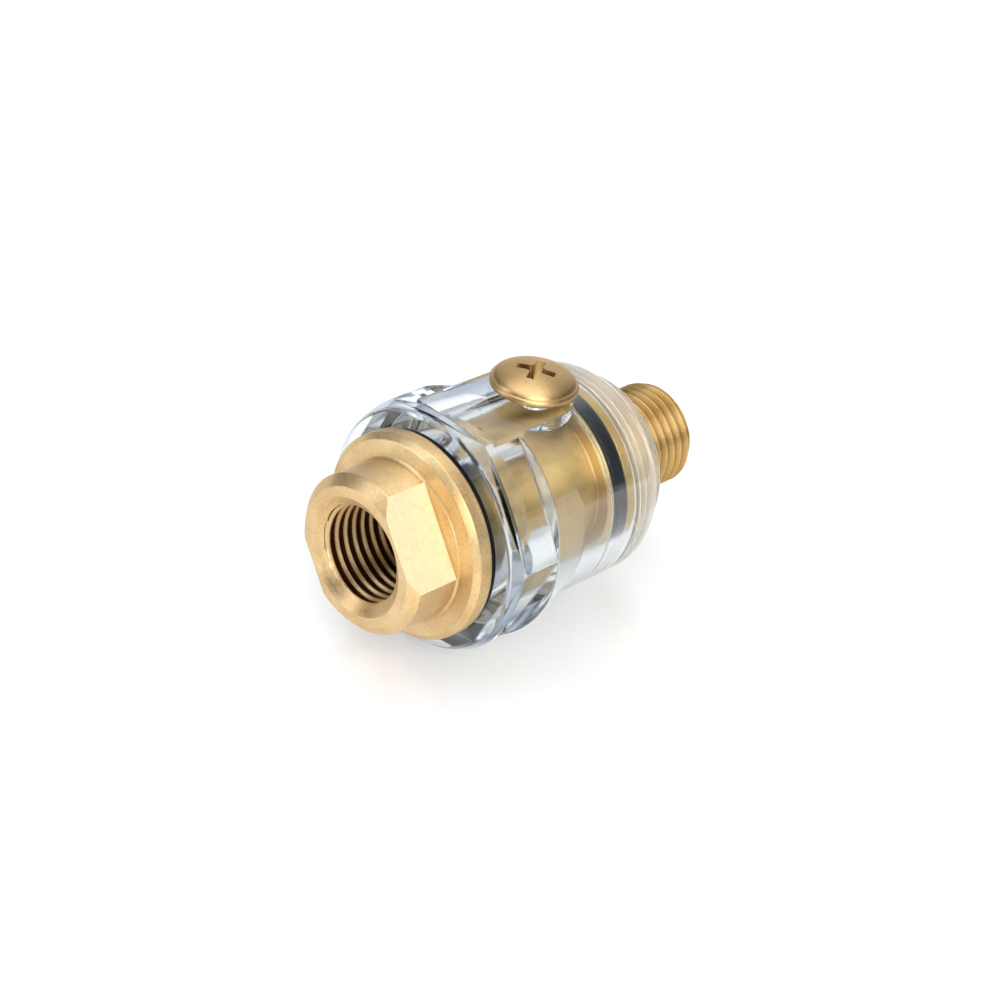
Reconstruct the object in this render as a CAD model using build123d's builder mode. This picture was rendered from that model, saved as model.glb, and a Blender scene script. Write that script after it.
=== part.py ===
from build123d import *
from math import cos, radians, sin, sqrt, tan
import os

# In-line air lubricator: a clear oil reservoir with a hexagon on it, held on a brass core
# between a brass inlet body and the core's own thread. Sizes are in millimetres and degrees.
# +X runs with the air, from the inlet to the outlet, and +Z points out of the fill screw.
# The origin is on the flow axis where the outlet thread leaves the core's rear face.

# Air line threads: a plain bore at the inlet's crests, and a ring groove for each outlet turn
inlet_thread_minor_d = 11.44
outlet_thread_major_d = 13.16
outlet_thread_length = 11.9
outlet_thread_pitch = 1.337
outlet_thread_depth = 0.86
outlet_groove_place = 1.9
outlet_groove_count = 7
outlet_groove_width = 1.1
outlet_root_width = 0.2
outlet_bore_d = 8.0

# Inlet body
inlet_boss_d = 19.2
inlet_boss_length = 6.9
inlet_boss_chamfer = 1.2
inlet_countersink_d = 14.4
inlet_countersink_depth = 1.1
inlet_thread_depth = 11.5
inlet_flats_distance = 15.4
inlet_flats_turn = 53.5
inlet_flats_gap = 0.15
flange_d = 25.0
flange_thickness = 2.6
flange_chamfer = 0.7
flange_relief = 0.25
web_thickness = 1.0
web_bore_d = 9.6
spigot_length = 7.2
spigot_chamfer = 0.5

# Clear reservoir
gasket_thickness = 0.6
reservoir_length = 29.9
reservoir_bore_d = 21.2
seal_bore_d = 20.8
seal_bore_lead = 0.3
reservoir_body_d = 26.8
reservoir_thread_d = 19.2
reservoir_thread_length = 5.9
collar_d = 29.0
collar_round = 0.6
blank_d = 31.0
hexagon_across_flats = 26.5
hexagon_turn = -6.0
hexagon_front = 2.2
hexagon_length = 4.7
hexagon_front_bow = 0.9
hexagon_rear_bow = 0.5
blank_run = 0.5
taper_length = 6.4
rear_round_length = 3.2
rear_round_depth = 1.8
rear_rim_d = 21.9
rear_rim_length = 2.0
rear_rim_round = 0.5
rear_thread_chamfer = 0.5
rear_recess = 0.4

# Fill pad and fill screw
pad_height = 13.55
pad_width = 11.8
pad_front = 3.1
pad_root = 2.3
pad_round_place = 14.6
fill_screw_place = 16.1
fill_thread_d = 5.0
fill_shank_end_gap = 0.4
fill_head_d = 10.6
fill_head_lift = 0.7
fill_head_edge = 0.8
fill_head_dome = 1.45
fill_neck_top_d = 9.2
fill_neck_d = 6.6
fill_seal_d = 7.0
fill_seal_depth = 0.9
fill_seal_proud = 0.05
recess_span = 4.8
recess_arm = 1.15
recess_depth = 2.0
recess_taper = 8.0
recess_turn = 27.5

# Brass core
nose_thread_d = 16.0
nose_seal_width = 1.0
barrel_d = 16.8
land_d = 20.4
land_lip = 0.6
land_rear_wall = 1.2
rear_groove_width = 2.4
rear_groove_depth = 1.75
outlet_chamfer = 0.8
outlet_bore_chamfer = 0.6
core_edge_chamfer = 0.4

# Jet block and what it carries
jet_block_d = 12.3
jet_block_length = 10.3
air_hole_d = 2.3
air_hole_count = 6
air_hole_circle_d = 7.8
jet_groove_depth = 0.75
jet_seal_width = 1.1
gallery_width = 0.8
gallery_depth = 0.6
groove_wall = 0.3
rear_hub_d = 4.0
rear_hub_length = 2.5
oil_hole_d = 0.8
bleed_hole_d = 0.6
wick_d = 1.7
wick_gap = 0.7
bleed_plug_d = 1.5
screw_counterbore_d = 3.8
screw_counterbore_depth = 3.85
metering_thread_d = 3.0
metering_thread_length = 2.3
needle_chamber_d = 1.8
needle_chamber_length = 2.4
seat_hole_d = 0.9
seat_length = 0.6
metering_head_d = 3.5
metering_head_length = 1.4
metering_head_inset = 0.45
metering_slot_width = 0.5
metering_slot_depth = 0.6
metering_neck_d = 2.2
needle_d = 1.2
valve_chamber_d = 2.3
ball_d = 1.5
ball_travel = 0.5
spring_wire_d = 0.22
spring_turns = 4.0
nozzle_length = 2.0
nozzle_bore_d = 0.7
nozzle_grip = 0.6

# Clearances between pieces that fit together
thread_clearance = 0.05
spigot_clearance = 0.2
gasket_clearance = 0.05
running_clearance = 0.05
face_clearance = 0.03
seal_relief = 0.02

# Stations along the flow axis, worked out from the lengths
core_rear_x = 0.0
outlet_end_x = core_rear_x + outlet_thread_length
reservoir_rear_x = core_rear_x + rear_recess
reservoir_front_x = reservoir_rear_x - reservoir_length
flange_rear_x = reservoir_front_x - gasket_thickness
flange_front_x = flange_rear_x - flange_thickness
inlet_face_x = flange_front_x - inlet_boss_length
web_front_x = inlet_face_x + inlet_thread_depth
web_rear_x = web_front_x + web_thickness
spigot_end_x = flange_rear_x + spigot_length
nose_front_x = web_rear_x + face_clearance
thread_front_x = reservoir_rear_x - reservoir_thread_length
land_rear_x = thread_front_x - face_clearance
rear_groove_rear_x = land_rear_x - land_rear_wall
rear_groove_front_x = rear_groove_rear_x - rear_groove_width
land_front_x = rear_groove_front_x - land_lip
hexagon_front_x = reservoir_front_x + hexagon_front
hexagon_rear_x = hexagon_front_x + hexagon_length
taper_end_x = hexagon_rear_x + taper_length
rim_front_x = reservoir_rear_x - rear_rim_length
round_start_x = rim_front_x - rear_round_length
pad_front_x = reservoir_front_x + pad_front
pad_round_x = reservoir_front_x + pad_round_place
fill_x = reservoir_front_x + fill_screw_place
jet_front_x = nose_front_x
jet_rear_x = jet_front_x + jet_block_length
rear_jet_groove_x = jet_rear_x - groove_wall * 2.5 - jet_seal_width
gallery_x = rear_jet_groove_x - groove_wall - gallery_width
front_jet_groove_x = gallery_x - groove_wall - jet_seal_width
bleed_groove_x = front_jet_groove_x - groove_wall - gallery_width
oil_x = gallery_x + gallery_width / 2
bleed_x = bleed_groove_x + gallery_width / 2
counterbore_end_x = jet_front_x + screw_counterbore_depth
metering_thread_end_x = counterbore_end_x + metering_thread_length
seat_front_x = metering_thread_end_x + needle_chamber_length
seat_rear_x = seat_front_x + seat_length
hub_end_x = jet_rear_x + rear_hub_length

# Radii shared by pieces that fit together
reservoir_bore_r = reservoir_bore_d / 2
seal_bore_r = seal_bore_d / 2
spigot_r = reservoir_bore_r - spigot_clearance
land_r = land_d / 2
barrel_r = barrel_d / 2
core_thread_r = reservoir_thread_d / 2 - thread_clearance
socket_r = nose_thread_d / 2
nose_r = socket_r - thread_clearance
jet_block_r = jet_block_d / 2
jet_bore_r = jet_block_r + running_clearance
outlet_bore_r = outlet_bore_d / 2
outlet_thread_r = outlet_thread_major_d / 2
outlet_root_r = outlet_thread_r - outlet_thread_depth
fill_shank_r = fill_thread_d / 2 - thread_clearance
metering_thread_r = metering_thread_d / 2
hexagon_flat_r = hexagon_across_flats / 2
hexagon_corner_half = hexagon_flat_r * tan(radians(30))
wick_hole_r = wick_d / 2 + running_clearance
bleed_plug_hole_r = bleed_plug_d / 2 + running_clearance


def side_plane(x, turn, height):
    """Plane that faces outwards at a height from the axis, turned from +Z towards -Y."""
    out = Vector(0, -sin(radians(turn)), cos(radians(turn)))
    return Plane(origin=Vector(x, 0, 0) + out * height, x_dir=(1, 0, 0), z_dir=out)


def ring_points(x_start, x_end, r_inner, r_outer):
    """Corners of a plain ring's section, as distance along the axis and radius."""
    return [(x_start, r_inner), (x_end, r_inner), (x_end, r_outer), (x_start, r_outer)]


def keep(piece, label):
    """Give the finished piece its name and write its file."""
    piece.part.label = label
    export_step(piece.part, f"parts/{label}.step")


os.makedirs("parts", exist_ok=True)

# Inlet body: boss with two wrench flats, flange, and a spigot that screws onto the core
boss_r = inlet_boss_d / 2
flange_r = flange_d / 2
with BuildPart() as inlet_body:
    with BuildSketch(Plane.XZ):
        with BuildLine():
            Polyline(
                (inlet_face_x, inlet_countersink_d / 2),
                (inlet_face_x, boss_r - inlet_boss_chamfer),
                (inlet_face_x + inlet_boss_chamfer, boss_r),
                (flange_front_x - flange_relief, boss_r),
                (flange_front_x, boss_r + flange_relief),
                (flange_front_x, flange_r - flange_chamfer),
                (flange_front_x + flange_chamfer, flange_r),
                (flange_rear_x - flange_relief, flange_r),
                (flange_rear_x, flange_r - flange_relief),
                (flange_rear_x, spigot_r),
                (spigot_end_x - spigot_chamfer, spigot_r),
                (spigot_end_x, spigot_r - spigot_chamfer),
                (spigot_end_x, socket_r),
                (web_rear_x, socket_r),
                (web_rear_x, web_bore_d / 2),
                (web_front_x, web_bore_d / 2),
                (web_front_x, inlet_thread_minor_d / 2),
                (inlet_face_x + inlet_countersink_depth, inlet_thread_minor_d / 2),
                close=True,
            )
        make_face()
    revolve(axis=Axis.X)
    flat_length = flange_front_x - inlet_flats_gap - inlet_face_x
    for turn in (inlet_flats_turn, inlet_flats_turn + 180):
        with BuildSketch(side_plane(inlet_face_x + flat_length / 2, turn, inlet_flats_distance / 2)):
            Rectangle(flat_length, inlet_boss_d)
        extrude(amount=boss_r, mode=Mode.SUBTRACT)
keep(inlet_body, "inlet_body")

# Gasket between the flange and the reservoir's front face
with BuildPart() as front_gasket:
    with BuildSketch(Plane.XZ):
        with BuildLine():
            gasket_r = flange_r - flange_relief
            gasket = ring_points(flange_rear_x, reservoir_front_x, spigot_r + gasket_clearance, gasket_r)
            Polyline(*gasket, close=True)
        make_face()
    revolve(axis=Axis.X)
keep(front_gasket, "front_gasket")

# Clear reservoir: turned barrel form, six flats, a raised pad with a tapped hole, and its bore
blank_r = blank_d / 2
body_r = reservoir_body_d / 2
collar_r = collar_d / 2
rim_r = rear_rim_d / 2
thread_r = reservoir_thread_d / 2
with BuildPart() as reservoir:
    with BuildSketch(Plane.XZ):
        with BuildLine():
            front_end = (reservoir_front_x + collar_round, collar_r)
            round_start = (round_start_x, body_r)
            round_end = (rim_front_x, body_r - rear_round_depth)
            rim_end = (reservoir_rear_x - rear_rim_round, rim_r)
            Polyline(
                (reservoir_rear_x, rim_r - rear_rim_round),
                (reservoir_rear_x, 0),
                (reservoir_front_x, 0),
                (reservoir_front_x, collar_r - collar_round),
            )
            RadiusArc((reservoir_front_x, collar_r - collar_round), front_end, collar_round)
            Polyline(
                front_end,
                (hexagon_front_x + blank_run, blank_r),
                (hexagon_rear_x - blank_run, blank_r),
                (taper_end_x, body_r),
                round_start,
            )
            TangentArc(round_start, round_end, tangent=(1, 0))
            Polyline(round_end, (rim_front_x, rim_r), rim_end)
            TangentArc(rim_end, (reservoir_rear_x, rim_r - rear_rim_round), tangent=(1, 0))
        make_face()
    revolve(axis=Axis.X)

    half = hexagon_corner_half * 1.2
    for side in range(6):
        flat = side_plane(hexagon_front_x, hexagon_turn + 60 * side, hexagon_flat_r)
        with BuildSketch(flat):
            with BuildLine():
                ThreePointArc((0, -half), (-hexagon_front_bow, 0), (0, half))
                Line((0, half), (hexagon_length, half))
                ThreePointArc((hexagon_length, half), (hexagon_length + hexagon_rear_bow, 0),
                              (hexagon_length, -half))
                Line((hexagon_length, -half), (0, -half))
            make_face()
        extrude(amount=blank_r, mode=Mode.SUBTRACT)

    pad_length = pad_round_x - pad_front_x
    pad_middle_x = pad_front_x + pad_length / 2
    with BuildSketch(Plane.XY.offset(pad_height)):
        with Locations((pad_middle_x, 0)):
            Rectangle(pad_length, pad_width)
        with Locations((pad_round_x, 0)):
            Circle(pad_width / 2)
    extrude(amount=-pad_root)
    with BuildSketch(Plane.XY.offset(pad_height)):
        with Locations((pad_middle_x, -hexagon_flat_r / 2 + pad_width / 4)):
            Rectangle(pad_length, hexagon_flat_r + pad_width / 2)
    extrude(amount=blank_r, mode=Mode.SUBTRACT)

    with BuildSketch(Plane.XZ):
        with BuildLine():
            Polyline(
                (reservoir_front_x, 0),
                (reservoir_front_x, reservoir_bore_r),
                (land_front_x - seal_bore_lead, reservoir_bore_r),
                (land_front_x, seal_bore_r),
                (thread_front_x, seal_bore_r),
                (thread_front_x, thread_r),
                (reservoir_rear_x - rear_thread_chamfer, thread_r),
                (reservoir_rear_x, thread_r + rear_thread_chamfer),
                (reservoir_rear_x, 0),
                close=True,
            )
        make_face()
    revolve(axis=Axis.X, mode=Mode.SUBTRACT)

    with BuildSketch(Plane.XY.offset(pad_height)):
        with Locations((fill_x, 0)):
            Circle(fill_thread_d / 2)
    extrude(amount=-pad_height, mode=Mode.SUBTRACT)
    with BuildSketch(Plane.XY.offset(pad_height)):
        with Locations((fill_x, 0)):
            Circle(fill_seal_d / 2 + running_clearance)
    extrude(amount=-fill_seal_depth, mode=Mode.SUBTRACT)
keep(reservoir, "reservoir")

# Core: threaded nose, barrel through the oil space, sealing land, rear thread and outlet thread
outlet_r = outlet_thread_r
outlet_grooves = []
for turn in range(outlet_groove_count):
    middle_x = core_rear_x + outlet_groove_place + turn * outlet_thread_pitch
    outlet_grooves += [
        (middle_x - outlet_groove_width / 2, outlet_r),
        (middle_x - outlet_root_width / 2, outlet_root_r),
        (middle_x + outlet_root_width / 2, outlet_root_r),
        (middle_x + outlet_groove_width / 2, outlet_r),
    ]
with BuildPart() as core:
    with BuildSketch(Plane.XZ):
        with BuildLine():
            Polyline(
                (nose_front_x, jet_bore_r),
                (nose_front_x, nose_r - nose_seal_width),
                (nose_front_x + nose_seal_width, nose_r - nose_seal_width),
                (nose_front_x + nose_seal_width, nose_r),
                (spigot_end_x + face_clearance, nose_r),
                (spigot_end_x + face_clearance, barrel_r),
                (land_front_x, barrel_r),
                (land_front_x, land_r - core_edge_chamfer),
                (land_front_x + core_edge_chamfer, land_r),
                (rear_groove_front_x, land_r),
                (rear_groove_front_x, land_r - rear_groove_depth),
                (rear_groove_rear_x, land_r - rear_groove_depth),
                (rear_groove_rear_x, land_r),
                (land_rear_x, land_r),
                (land_rear_x, core_thread_r),
                (core_rear_x - core_edge_chamfer, core_thread_r),
                (core_rear_x, core_thread_r - core_edge_chamfer),
                (core_rear_x, outlet_r),
                *outlet_grooves,
                (outlet_end_x - outlet_chamfer, outlet_r),
                (outlet_end_x, outlet_r - outlet_chamfer),
                (outlet_end_x, outlet_bore_r + outlet_bore_chamfer),
                (outlet_end_x - outlet_bore_chamfer, outlet_bore_r),
                (jet_rear_x + face_clearance, outlet_bore_r),
                (jet_rear_x + face_clearance, jet_bore_r),
                close=True,
            )
        make_face()
    revolve(axis=Axis.X)
    with BuildSketch(Plane.XY):
        with Locations((oil_x, 0)):
            Circle(wick_hole_r)
    extrude(amount=-land_r, mode=Mode.SUBTRACT)
    with BuildSketch(Plane.XY):
        with Locations((bleed_x, 0)):
            Circle(bleed_plug_hole_r)
    extrude(amount=land_r, mode=Mode.SUBTRACT)
keep(core, "core")

# Seal ring squeezed between the core's nose and the web inside the inlet body
with BuildPart() as nose_seal:
    with BuildSketch(Plane.XZ):
        nose_cord = nose_seal_width - face_clearance
        with Locations((nose_front_x + nose_seal_width / 2, nose_r - nose_seal_width / 2)):
            Circle(nose_cord / 2)
    revolve(axis=Axis.X)
keep(nose_seal, "nose_seal")

# Rear ring in the land's groove, squeezed to a flat face against the reservoir's bore
with BuildPart() as rear_o_ring:
    ring_height = seal_bore_r - seal_relief - (land_r - rear_groove_depth)
    ring_width = rear_groove_width - 2 * running_clearance
    with BuildSketch(Plane.XZ):
        ring_middle = (rear_groove_front_x + rear_groove_width / 2,
                       seal_bore_r - seal_relief - ring_height / 2)
        with Locations(ring_middle):
            RectangleRounded(ring_width, ring_height, ring_height * 0.3)
    revolve(axis=Axis.X)
keep(rear_o_ring, "rear_o_ring")

# Fill screw: domed head on a short neck, cross recess, and a shank in the tapped hole
head_r = fill_head_d / 2
head_under_z = pad_height + fill_head_lift
head_top_z = head_under_z + fill_head_edge + fill_head_dome
neck_under_z = pad_height + fill_seal_proud + face_clearance
shank_end_z = reservoir_bore_r + fill_shank_end_gap
with BuildPart() as fill_screw:
    with BuildSketch(Plane.XZ):
        with BuildLine():
            rim = (fill_x + head_r, head_under_z + fill_head_edge)
            crown = (fill_x, head_top_z)
            Polyline(
                crown,
                (fill_x, shank_end_z),
                (fill_x + fill_shank_r - 0.4, shank_end_z),
                (fill_x + fill_shank_r, shank_end_z + 0.4),
                (fill_x + fill_shank_r, neck_under_z),
                (fill_x + fill_neck_d / 2, neck_under_z),
                (fill_x + fill_neck_top_d / 2, head_under_z),
                (fill_x + head_r - fill_head_edge / 2, head_under_z),
                (fill_x + head_r, head_under_z + fill_head_edge / 2),
                rim,
            )
            dome_r = (head_r ** 2 + fill_head_dome ** 2) / (2 * fill_head_dome)
            RadiusArc(rim, crown, -dome_r)
        make_face()
    revolve(axis=Axis((fill_x, 0, 0), (0, 0, 1)))
    with BuildSketch(Plane.XY.offset(head_top_z)):
        with Locations((fill_x, 0)):
            Rectangle(recess_span, recess_arm, rotation=recess_turn)
            Rectangle(recess_arm, recess_span, rotation=recess_turn)
    extrude(amount=-recess_depth, taper=recess_taper, mode=Mode.SUBTRACT)
keep(fill_screw, "fill_screw")

# Washer seal in the counterbore under the fill screw's neck
with BuildPart() as fill_seal:
    seal_bottom_z = pad_height - fill_seal_depth + face_clearance
    seal_top_z = pad_height + fill_seal_proud
    with BuildSketch(Plane.XY.offset(seal_bottom_z)):
        with Locations((fill_x, 0)):
            Circle(fill_seal_d / 2)
            Circle(fill_shank_r + running_clearance, mode=Mode.SUBTRACT)
    extrude(amount=seal_top_z - seal_bottom_z)
keep(fill_seal, "fill_seal")

# Jet block: air holes round a hub that meters the oil and holds the check valve
groove_r = jet_block_r - jet_groove_depth
gallery_r = jet_block_r - gallery_depth
with BuildPart() as jet_block:
    with BuildSketch(Plane.XZ):
        with BuildLine():
            Polyline(
                (jet_front_x, screw_counterbore_d / 2),
                (jet_front_x, jet_block_r),
                (bleed_groove_x, jet_block_r),
                (bleed_groove_x, gallery_r),
                (bleed_groove_x + gallery_width, gallery_r),
                (bleed_groove_x + gallery_width, jet_block_r),
                (front_jet_groove_x, jet_block_r),
                (front_jet_groove_x, groove_r),
                (front_jet_groove_x + jet_seal_width, groove_r),
                (front_jet_groove_x + jet_seal_width, jet_block_r),
                (gallery_x, jet_block_r),
                (gallery_x, gallery_r),
                (gallery_x + gallery_width, gallery_r),
                (gallery_x + gallery_width, jet_block_r),
                (rear_jet_groove_x, jet_block_r),
                (rear_jet_groove_x, groove_r),
                (rear_jet_groove_x + jet_seal_width, groove_r),
                (rear_jet_groove_x + jet_seal_width, jet_block_r),
                (jet_rear_x, jet_block_r),
                (jet_rear_x, rear_hub_d / 2),
                (hub_end_x, rear_hub_d / 2),
                (hub_end_x, valve_chamber_d / 2),
                (seat_rear_x, valve_chamber_d / 2),
                (seat_rear_x, seat_hole_d / 2),
                (seat_front_x, seat_hole_d / 2),
                (seat_front_x, needle_chamber_d / 2),
                (metering_thread_end_x, needle_chamber_d / 2),
                (metering_thread_end_x, metering_thread_r),
                (counterbore_end_x, metering_thread_r),
                (counterbore_end_x, screw_counterbore_d / 2),
                close=True,
            )
        make_face()
    revolve(axis=Axis.X)
    with BuildSketch(Plane.YZ.offset(jet_front_x)):
        with PolarLocations(air_hole_circle_d / 2, air_hole_count, start_angle=90):
            Circle(air_hole_d / 2)
    extrude(amount=jet_block_length, mode=Mode.SUBTRACT)
    between_holes = 180 / air_hole_count
    with BuildSketch(side_plane(oil_x, 180 + between_holes, 0)):
        Circle(oil_hole_d / 2)
    extrude(amount=jet_block_r, mode=Mode.SUBTRACT)
    with BuildSketch(side_plane(bleed_x, 0, air_hole_circle_d / 2)):
        Circle(bleed_hole_d / 2)
    extrude(amount=jet_block_r, mode=Mode.SUBTRACT)
keep(jet_block, "jet_block")

# Two rings that seal the oil gallery round the jet block
for label, groove_x in (("jet_seal_front", front_jet_groove_x), ("jet_seal_rear", rear_jet_groove_x)):
    cord = jet_bore_r - groove_r - seal_relief
    with BuildPart() as jet_seal:
        with BuildSketch(Plane.XZ):
            with Locations((groove_x + jet_seal_width / 2, groove_r + cord / 2 + seal_relief / 2)):
                Circle(cord / 2)
        revolve(axis=Axis.X)
    keep(jet_seal, label)

# Felt wick that draws oil through the core's wall, and the porous plug that lets air in
with BuildPart() as wick:
    wick_top_z = jet_bore_r + running_clearance
    with BuildSketch(Plane.XY.offset(-wick_top_z)):
        with Locations((oil_x, 0)):
            Circle(wick_d / 2)
    extrude(amount=-(reservoir_bore_r - wick_gap - wick_top_z))
keep(wick, "wick")

with BuildPart() as bleed_plug:
    plug_bottom_z = jet_bore_r + running_clearance
    with BuildSketch(Plane.XY.offset(plug_bottom_z)):
        with Locations((bleed_x, 0)):
            Circle(bleed_plug_d / 2)
    extrude(amount=barrel_r - seal_relief - plug_bottom_z)
keep(bleed_plug, "bleed_plug")

# Metering screw: slotted head, neck for its ring, thread and needle, shown closed
head_front_x = jet_front_x + metering_head_inset
head_back_x = head_front_x + metering_head_length
screw_thread_r = metering_thread_r - thread_clearance
needle_r = needle_d / 2
seat_r = seat_hole_d / 2
needle_shoulder_x = seat_front_x - (needle_r - seat_r) - face_clearance * sqrt(2)
needle_tip_x = needle_shoulder_x + needle_r
with BuildPart() as metering_screw:
    with BuildSketch(Plane.XZ):
        with BuildLine():
            Polyline(
                (head_front_x, 0),
                (head_front_x, metering_head_d / 2),
                (head_back_x, metering_head_d / 2),
                (head_back_x, metering_neck_d / 2),
                (counterbore_end_x, metering_neck_d / 2),
                (counterbore_end_x + thread_clearance, screw_thread_r),
                (metering_thread_end_x - thread_clearance, screw_thread_r),
                (metering_thread_end_x - thread_clearance, needle_r),
                (needle_shoulder_x, needle_r),
                (needle_tip_x, 0),
                close=True,
            )
        make_face()
    revolve(axis=Axis.X)
    with BuildSketch(Plane.YZ.offset(head_front_x)):
        Rectangle(metering_head_d, metering_slot_width)
    extrude(amount=metering_slot_depth, mode=Mode.SUBTRACT)
keep(metering_screw, "metering_screw")

# Ring on the metering screw's neck
with BuildPart() as metering_seal:
    counterbore_r = screw_counterbore_d / 2
    neck_r = metering_neck_d / 2
    metering_cord = counterbore_r - neck_r - 2 * running_clearance
    with BuildSketch(Plane.XZ):
        with Locations((head_back_x + face_clearance + metering_cord / 2, (counterbore_r + neck_r) / 2)):
            Circle(metering_cord / 2)
    revolve(axis=Axis.X)
keep(metering_seal, "metering_seal")

# Check ball on its seat, the spring behind it, and the nozzle that keeps them in
ball_r = ball_d / 2
ball_x = seat_rear_x + sqrt(ball_r ** 2 - seat_r ** 2) + face_clearance
with BuildPart() as check_ball:
    with Locations((ball_x, 0, 0)):
        Sphere(ball_r)
keep(check_ball, "check_ball")

nozzle_front_x = hub_end_x - nozzle_grip
spring_front_x = ball_x + ball_r + face_clearance
spring_length = nozzle_front_x - spring_front_x - face_clearance
spring_path_length = spring_length - spring_wire_d
spring_r = valve_chamber_d / 2 - running_clearance - spring_wire_d
with BuildPart() as check_spring:
    with BuildLine() as coil:
        Helix(
            pitch=spring_path_length / spring_turns,
            height=spring_path_length,
            radius=spring_r,
            center=(spring_front_x + spring_wire_d / 2, 0, 0),
            direction=(1, 0, 0),
        )
    with BuildSketch(Plane(origin=coil.line @ 0, z_dir=coil.line % 0)):
        Circle(spring_wire_d / 2)
    sweep(path=coil.line, is_frenet=True)
keep(check_spring, "check_spring")

with BuildPart() as nozzle:
    grip_r = valve_chamber_d / 2 - seal_relief
    nozzle_end_x = nozzle_front_x + nozzle_length
    with BuildSketch(Plane.XZ):
        with BuildLine():
            Polyline(
                (nozzle_front_x, nozzle_bore_d / 2),
                (nozzle_front_x, grip_r),
                (hub_end_x, grip_r),
                (hub_end_x + face_clearance, rear_hub_d / 2),
                (nozzle_end_x - nozzle_grip, rear_hub_d / 2),
                (nozzle_end_x, nozzle_bore_d),
                (nozzle_end_x, nozzle_bore_d / 2),
                close=True,
            )
        make_face()
    revolve(axis=Axis.X)
keep(nozzle, "nozzle")
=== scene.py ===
import math
from functools import partial
from types import SimpleNamespace

import bmesh
import bpy
from bpy.props import FloatProperty, FloatVectorProperty, IntProperty, PointerProperty
from mathutils import Matrix, Vector


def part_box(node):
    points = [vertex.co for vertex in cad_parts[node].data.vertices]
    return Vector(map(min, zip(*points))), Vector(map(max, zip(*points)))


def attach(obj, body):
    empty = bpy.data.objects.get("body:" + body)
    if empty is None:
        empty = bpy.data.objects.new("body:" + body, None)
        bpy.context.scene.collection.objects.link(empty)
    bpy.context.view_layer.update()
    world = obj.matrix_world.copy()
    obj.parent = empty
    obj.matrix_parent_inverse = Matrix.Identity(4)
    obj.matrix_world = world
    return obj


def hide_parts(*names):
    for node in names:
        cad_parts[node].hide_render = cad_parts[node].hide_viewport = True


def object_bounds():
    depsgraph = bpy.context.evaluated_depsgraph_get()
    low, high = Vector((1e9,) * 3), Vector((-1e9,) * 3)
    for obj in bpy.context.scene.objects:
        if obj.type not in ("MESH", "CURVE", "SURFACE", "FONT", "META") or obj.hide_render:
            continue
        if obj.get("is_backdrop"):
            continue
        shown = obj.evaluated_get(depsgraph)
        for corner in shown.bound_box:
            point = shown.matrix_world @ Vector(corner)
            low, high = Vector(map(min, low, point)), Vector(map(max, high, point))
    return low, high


bl_info = {
    "name": "Air line lubricator",
    "version": (1, 0, 0),
    "blender": (4, 5, 0),
    "location": "3D View > Sidebar > Lubricator",
    "description": "Builds an in-line air lubricator in brass and clear plastic on its packed frame",
    "category": "Add Mesh",
}

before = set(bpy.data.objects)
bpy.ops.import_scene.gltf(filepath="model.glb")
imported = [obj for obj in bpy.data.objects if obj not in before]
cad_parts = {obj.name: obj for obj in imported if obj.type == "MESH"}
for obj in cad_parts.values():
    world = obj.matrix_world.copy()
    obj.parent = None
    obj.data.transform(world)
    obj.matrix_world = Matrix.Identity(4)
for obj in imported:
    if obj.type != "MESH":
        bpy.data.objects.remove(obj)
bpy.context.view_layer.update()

MM = 0.001
# place of a form that is already turned about the flow axis
FLOW_AXIS = Matrix.Identity(4)
# points nearer to each other than this are merged
WELD = 0.002 * MM
# a gap or a tolerance too small to show, in mm
HAIR = 0.02
# reach of a cutting tool past what it cuts, in mm
PAST = 1.0
# play between the core's rear thread and the reservoir's, in mm
THREAD_GAP = 0.07
# air above and below the fill screw's seal, in mm
SEAT_GAP = 0.03


# Mesh helpers
def eased(points, steps=4):
    """Open profile of (x, r) or (x, r, ease) points, in mm, with each corner rounded by its ease."""
    nearly_straight = math.radians(4)
    most_of_a_run = 0.48
    out = [points[0][:2]]
    for before, here, after in zip(points, points[1:], points[2:]):
        ease = here[2] if len(here) > 2 else 0.0
        corner = Vector(here[:2])
        back = Vector(before[:2]) - corner
        ahead = Vector(after[:2]) - corner
        turn = math.pi - back.angle(ahead, math.pi)
        if ease <= 0 or turn < nearly_straight:
            out.append(here[:2])
            continue
        reach = min(ease * math.tan(turn / 2), most_of_a_run * back.length, most_of_a_run * ahead.length)
        start = corner + back.normalized() * reach
        end = corner + ahead.normalized() * reach
        for step in range(steps + 1):
            t = step / steps
            spot = start * (1 - t) ** 2 + corner * 2 * t * (1 - t) + end * t ** 2
            out.append((spot.x, spot.y))
    out.append(points[-1][:2])
    return out


def spin(mesh, profile, segments):
    """Add the surface that a profile of (x, r) points in mm sweeps round the X axis."""
    on_axis = 1e-6
    rings = []
    for x, r in profile:
        if r < on_axis:
            rings.append([mesh.verts.new((x * MM, 0, 0))] * segments)
            continue
        ring = []
        for step in range(segments):
            turn = 2 * math.pi * step / segments
            ring.append(mesh.verts.new((x * MM, r * MM * math.cos(turn), r * MM * math.sin(turn))))
        rings.append(ring)
    for ring, following in zip(rings, rings[1:]):
        for step in range(segments):
            beside = (step + 1) % segments
            corners = []
            for vert in (ring[step], ring[beside], following[beside], following[step]):
                if vert not in corners:
                    corners.append(vert)
            if len(corners) > 2:
                mesh.faces.new(corners)


def add_surface(mesh, source):
    """Add another mesh's faces to a bmesh and drop the source."""
    mesh.from_mesh(source)
    bpy.data.meshes.remove(source)


def close_up(mesh):
    """Merge shared edges, drop slivers and point every face outwards."""
    bmesh.ops.remove_doubles(mesh, verts=mesh.verts, dist=WELD)
    bmesh.ops.dissolve_degenerate(mesh, edges=mesh.edges, dist=WELD)
    bmesh.ops.recalc_face_normals(mesh, faces=mesh.faces)


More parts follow.
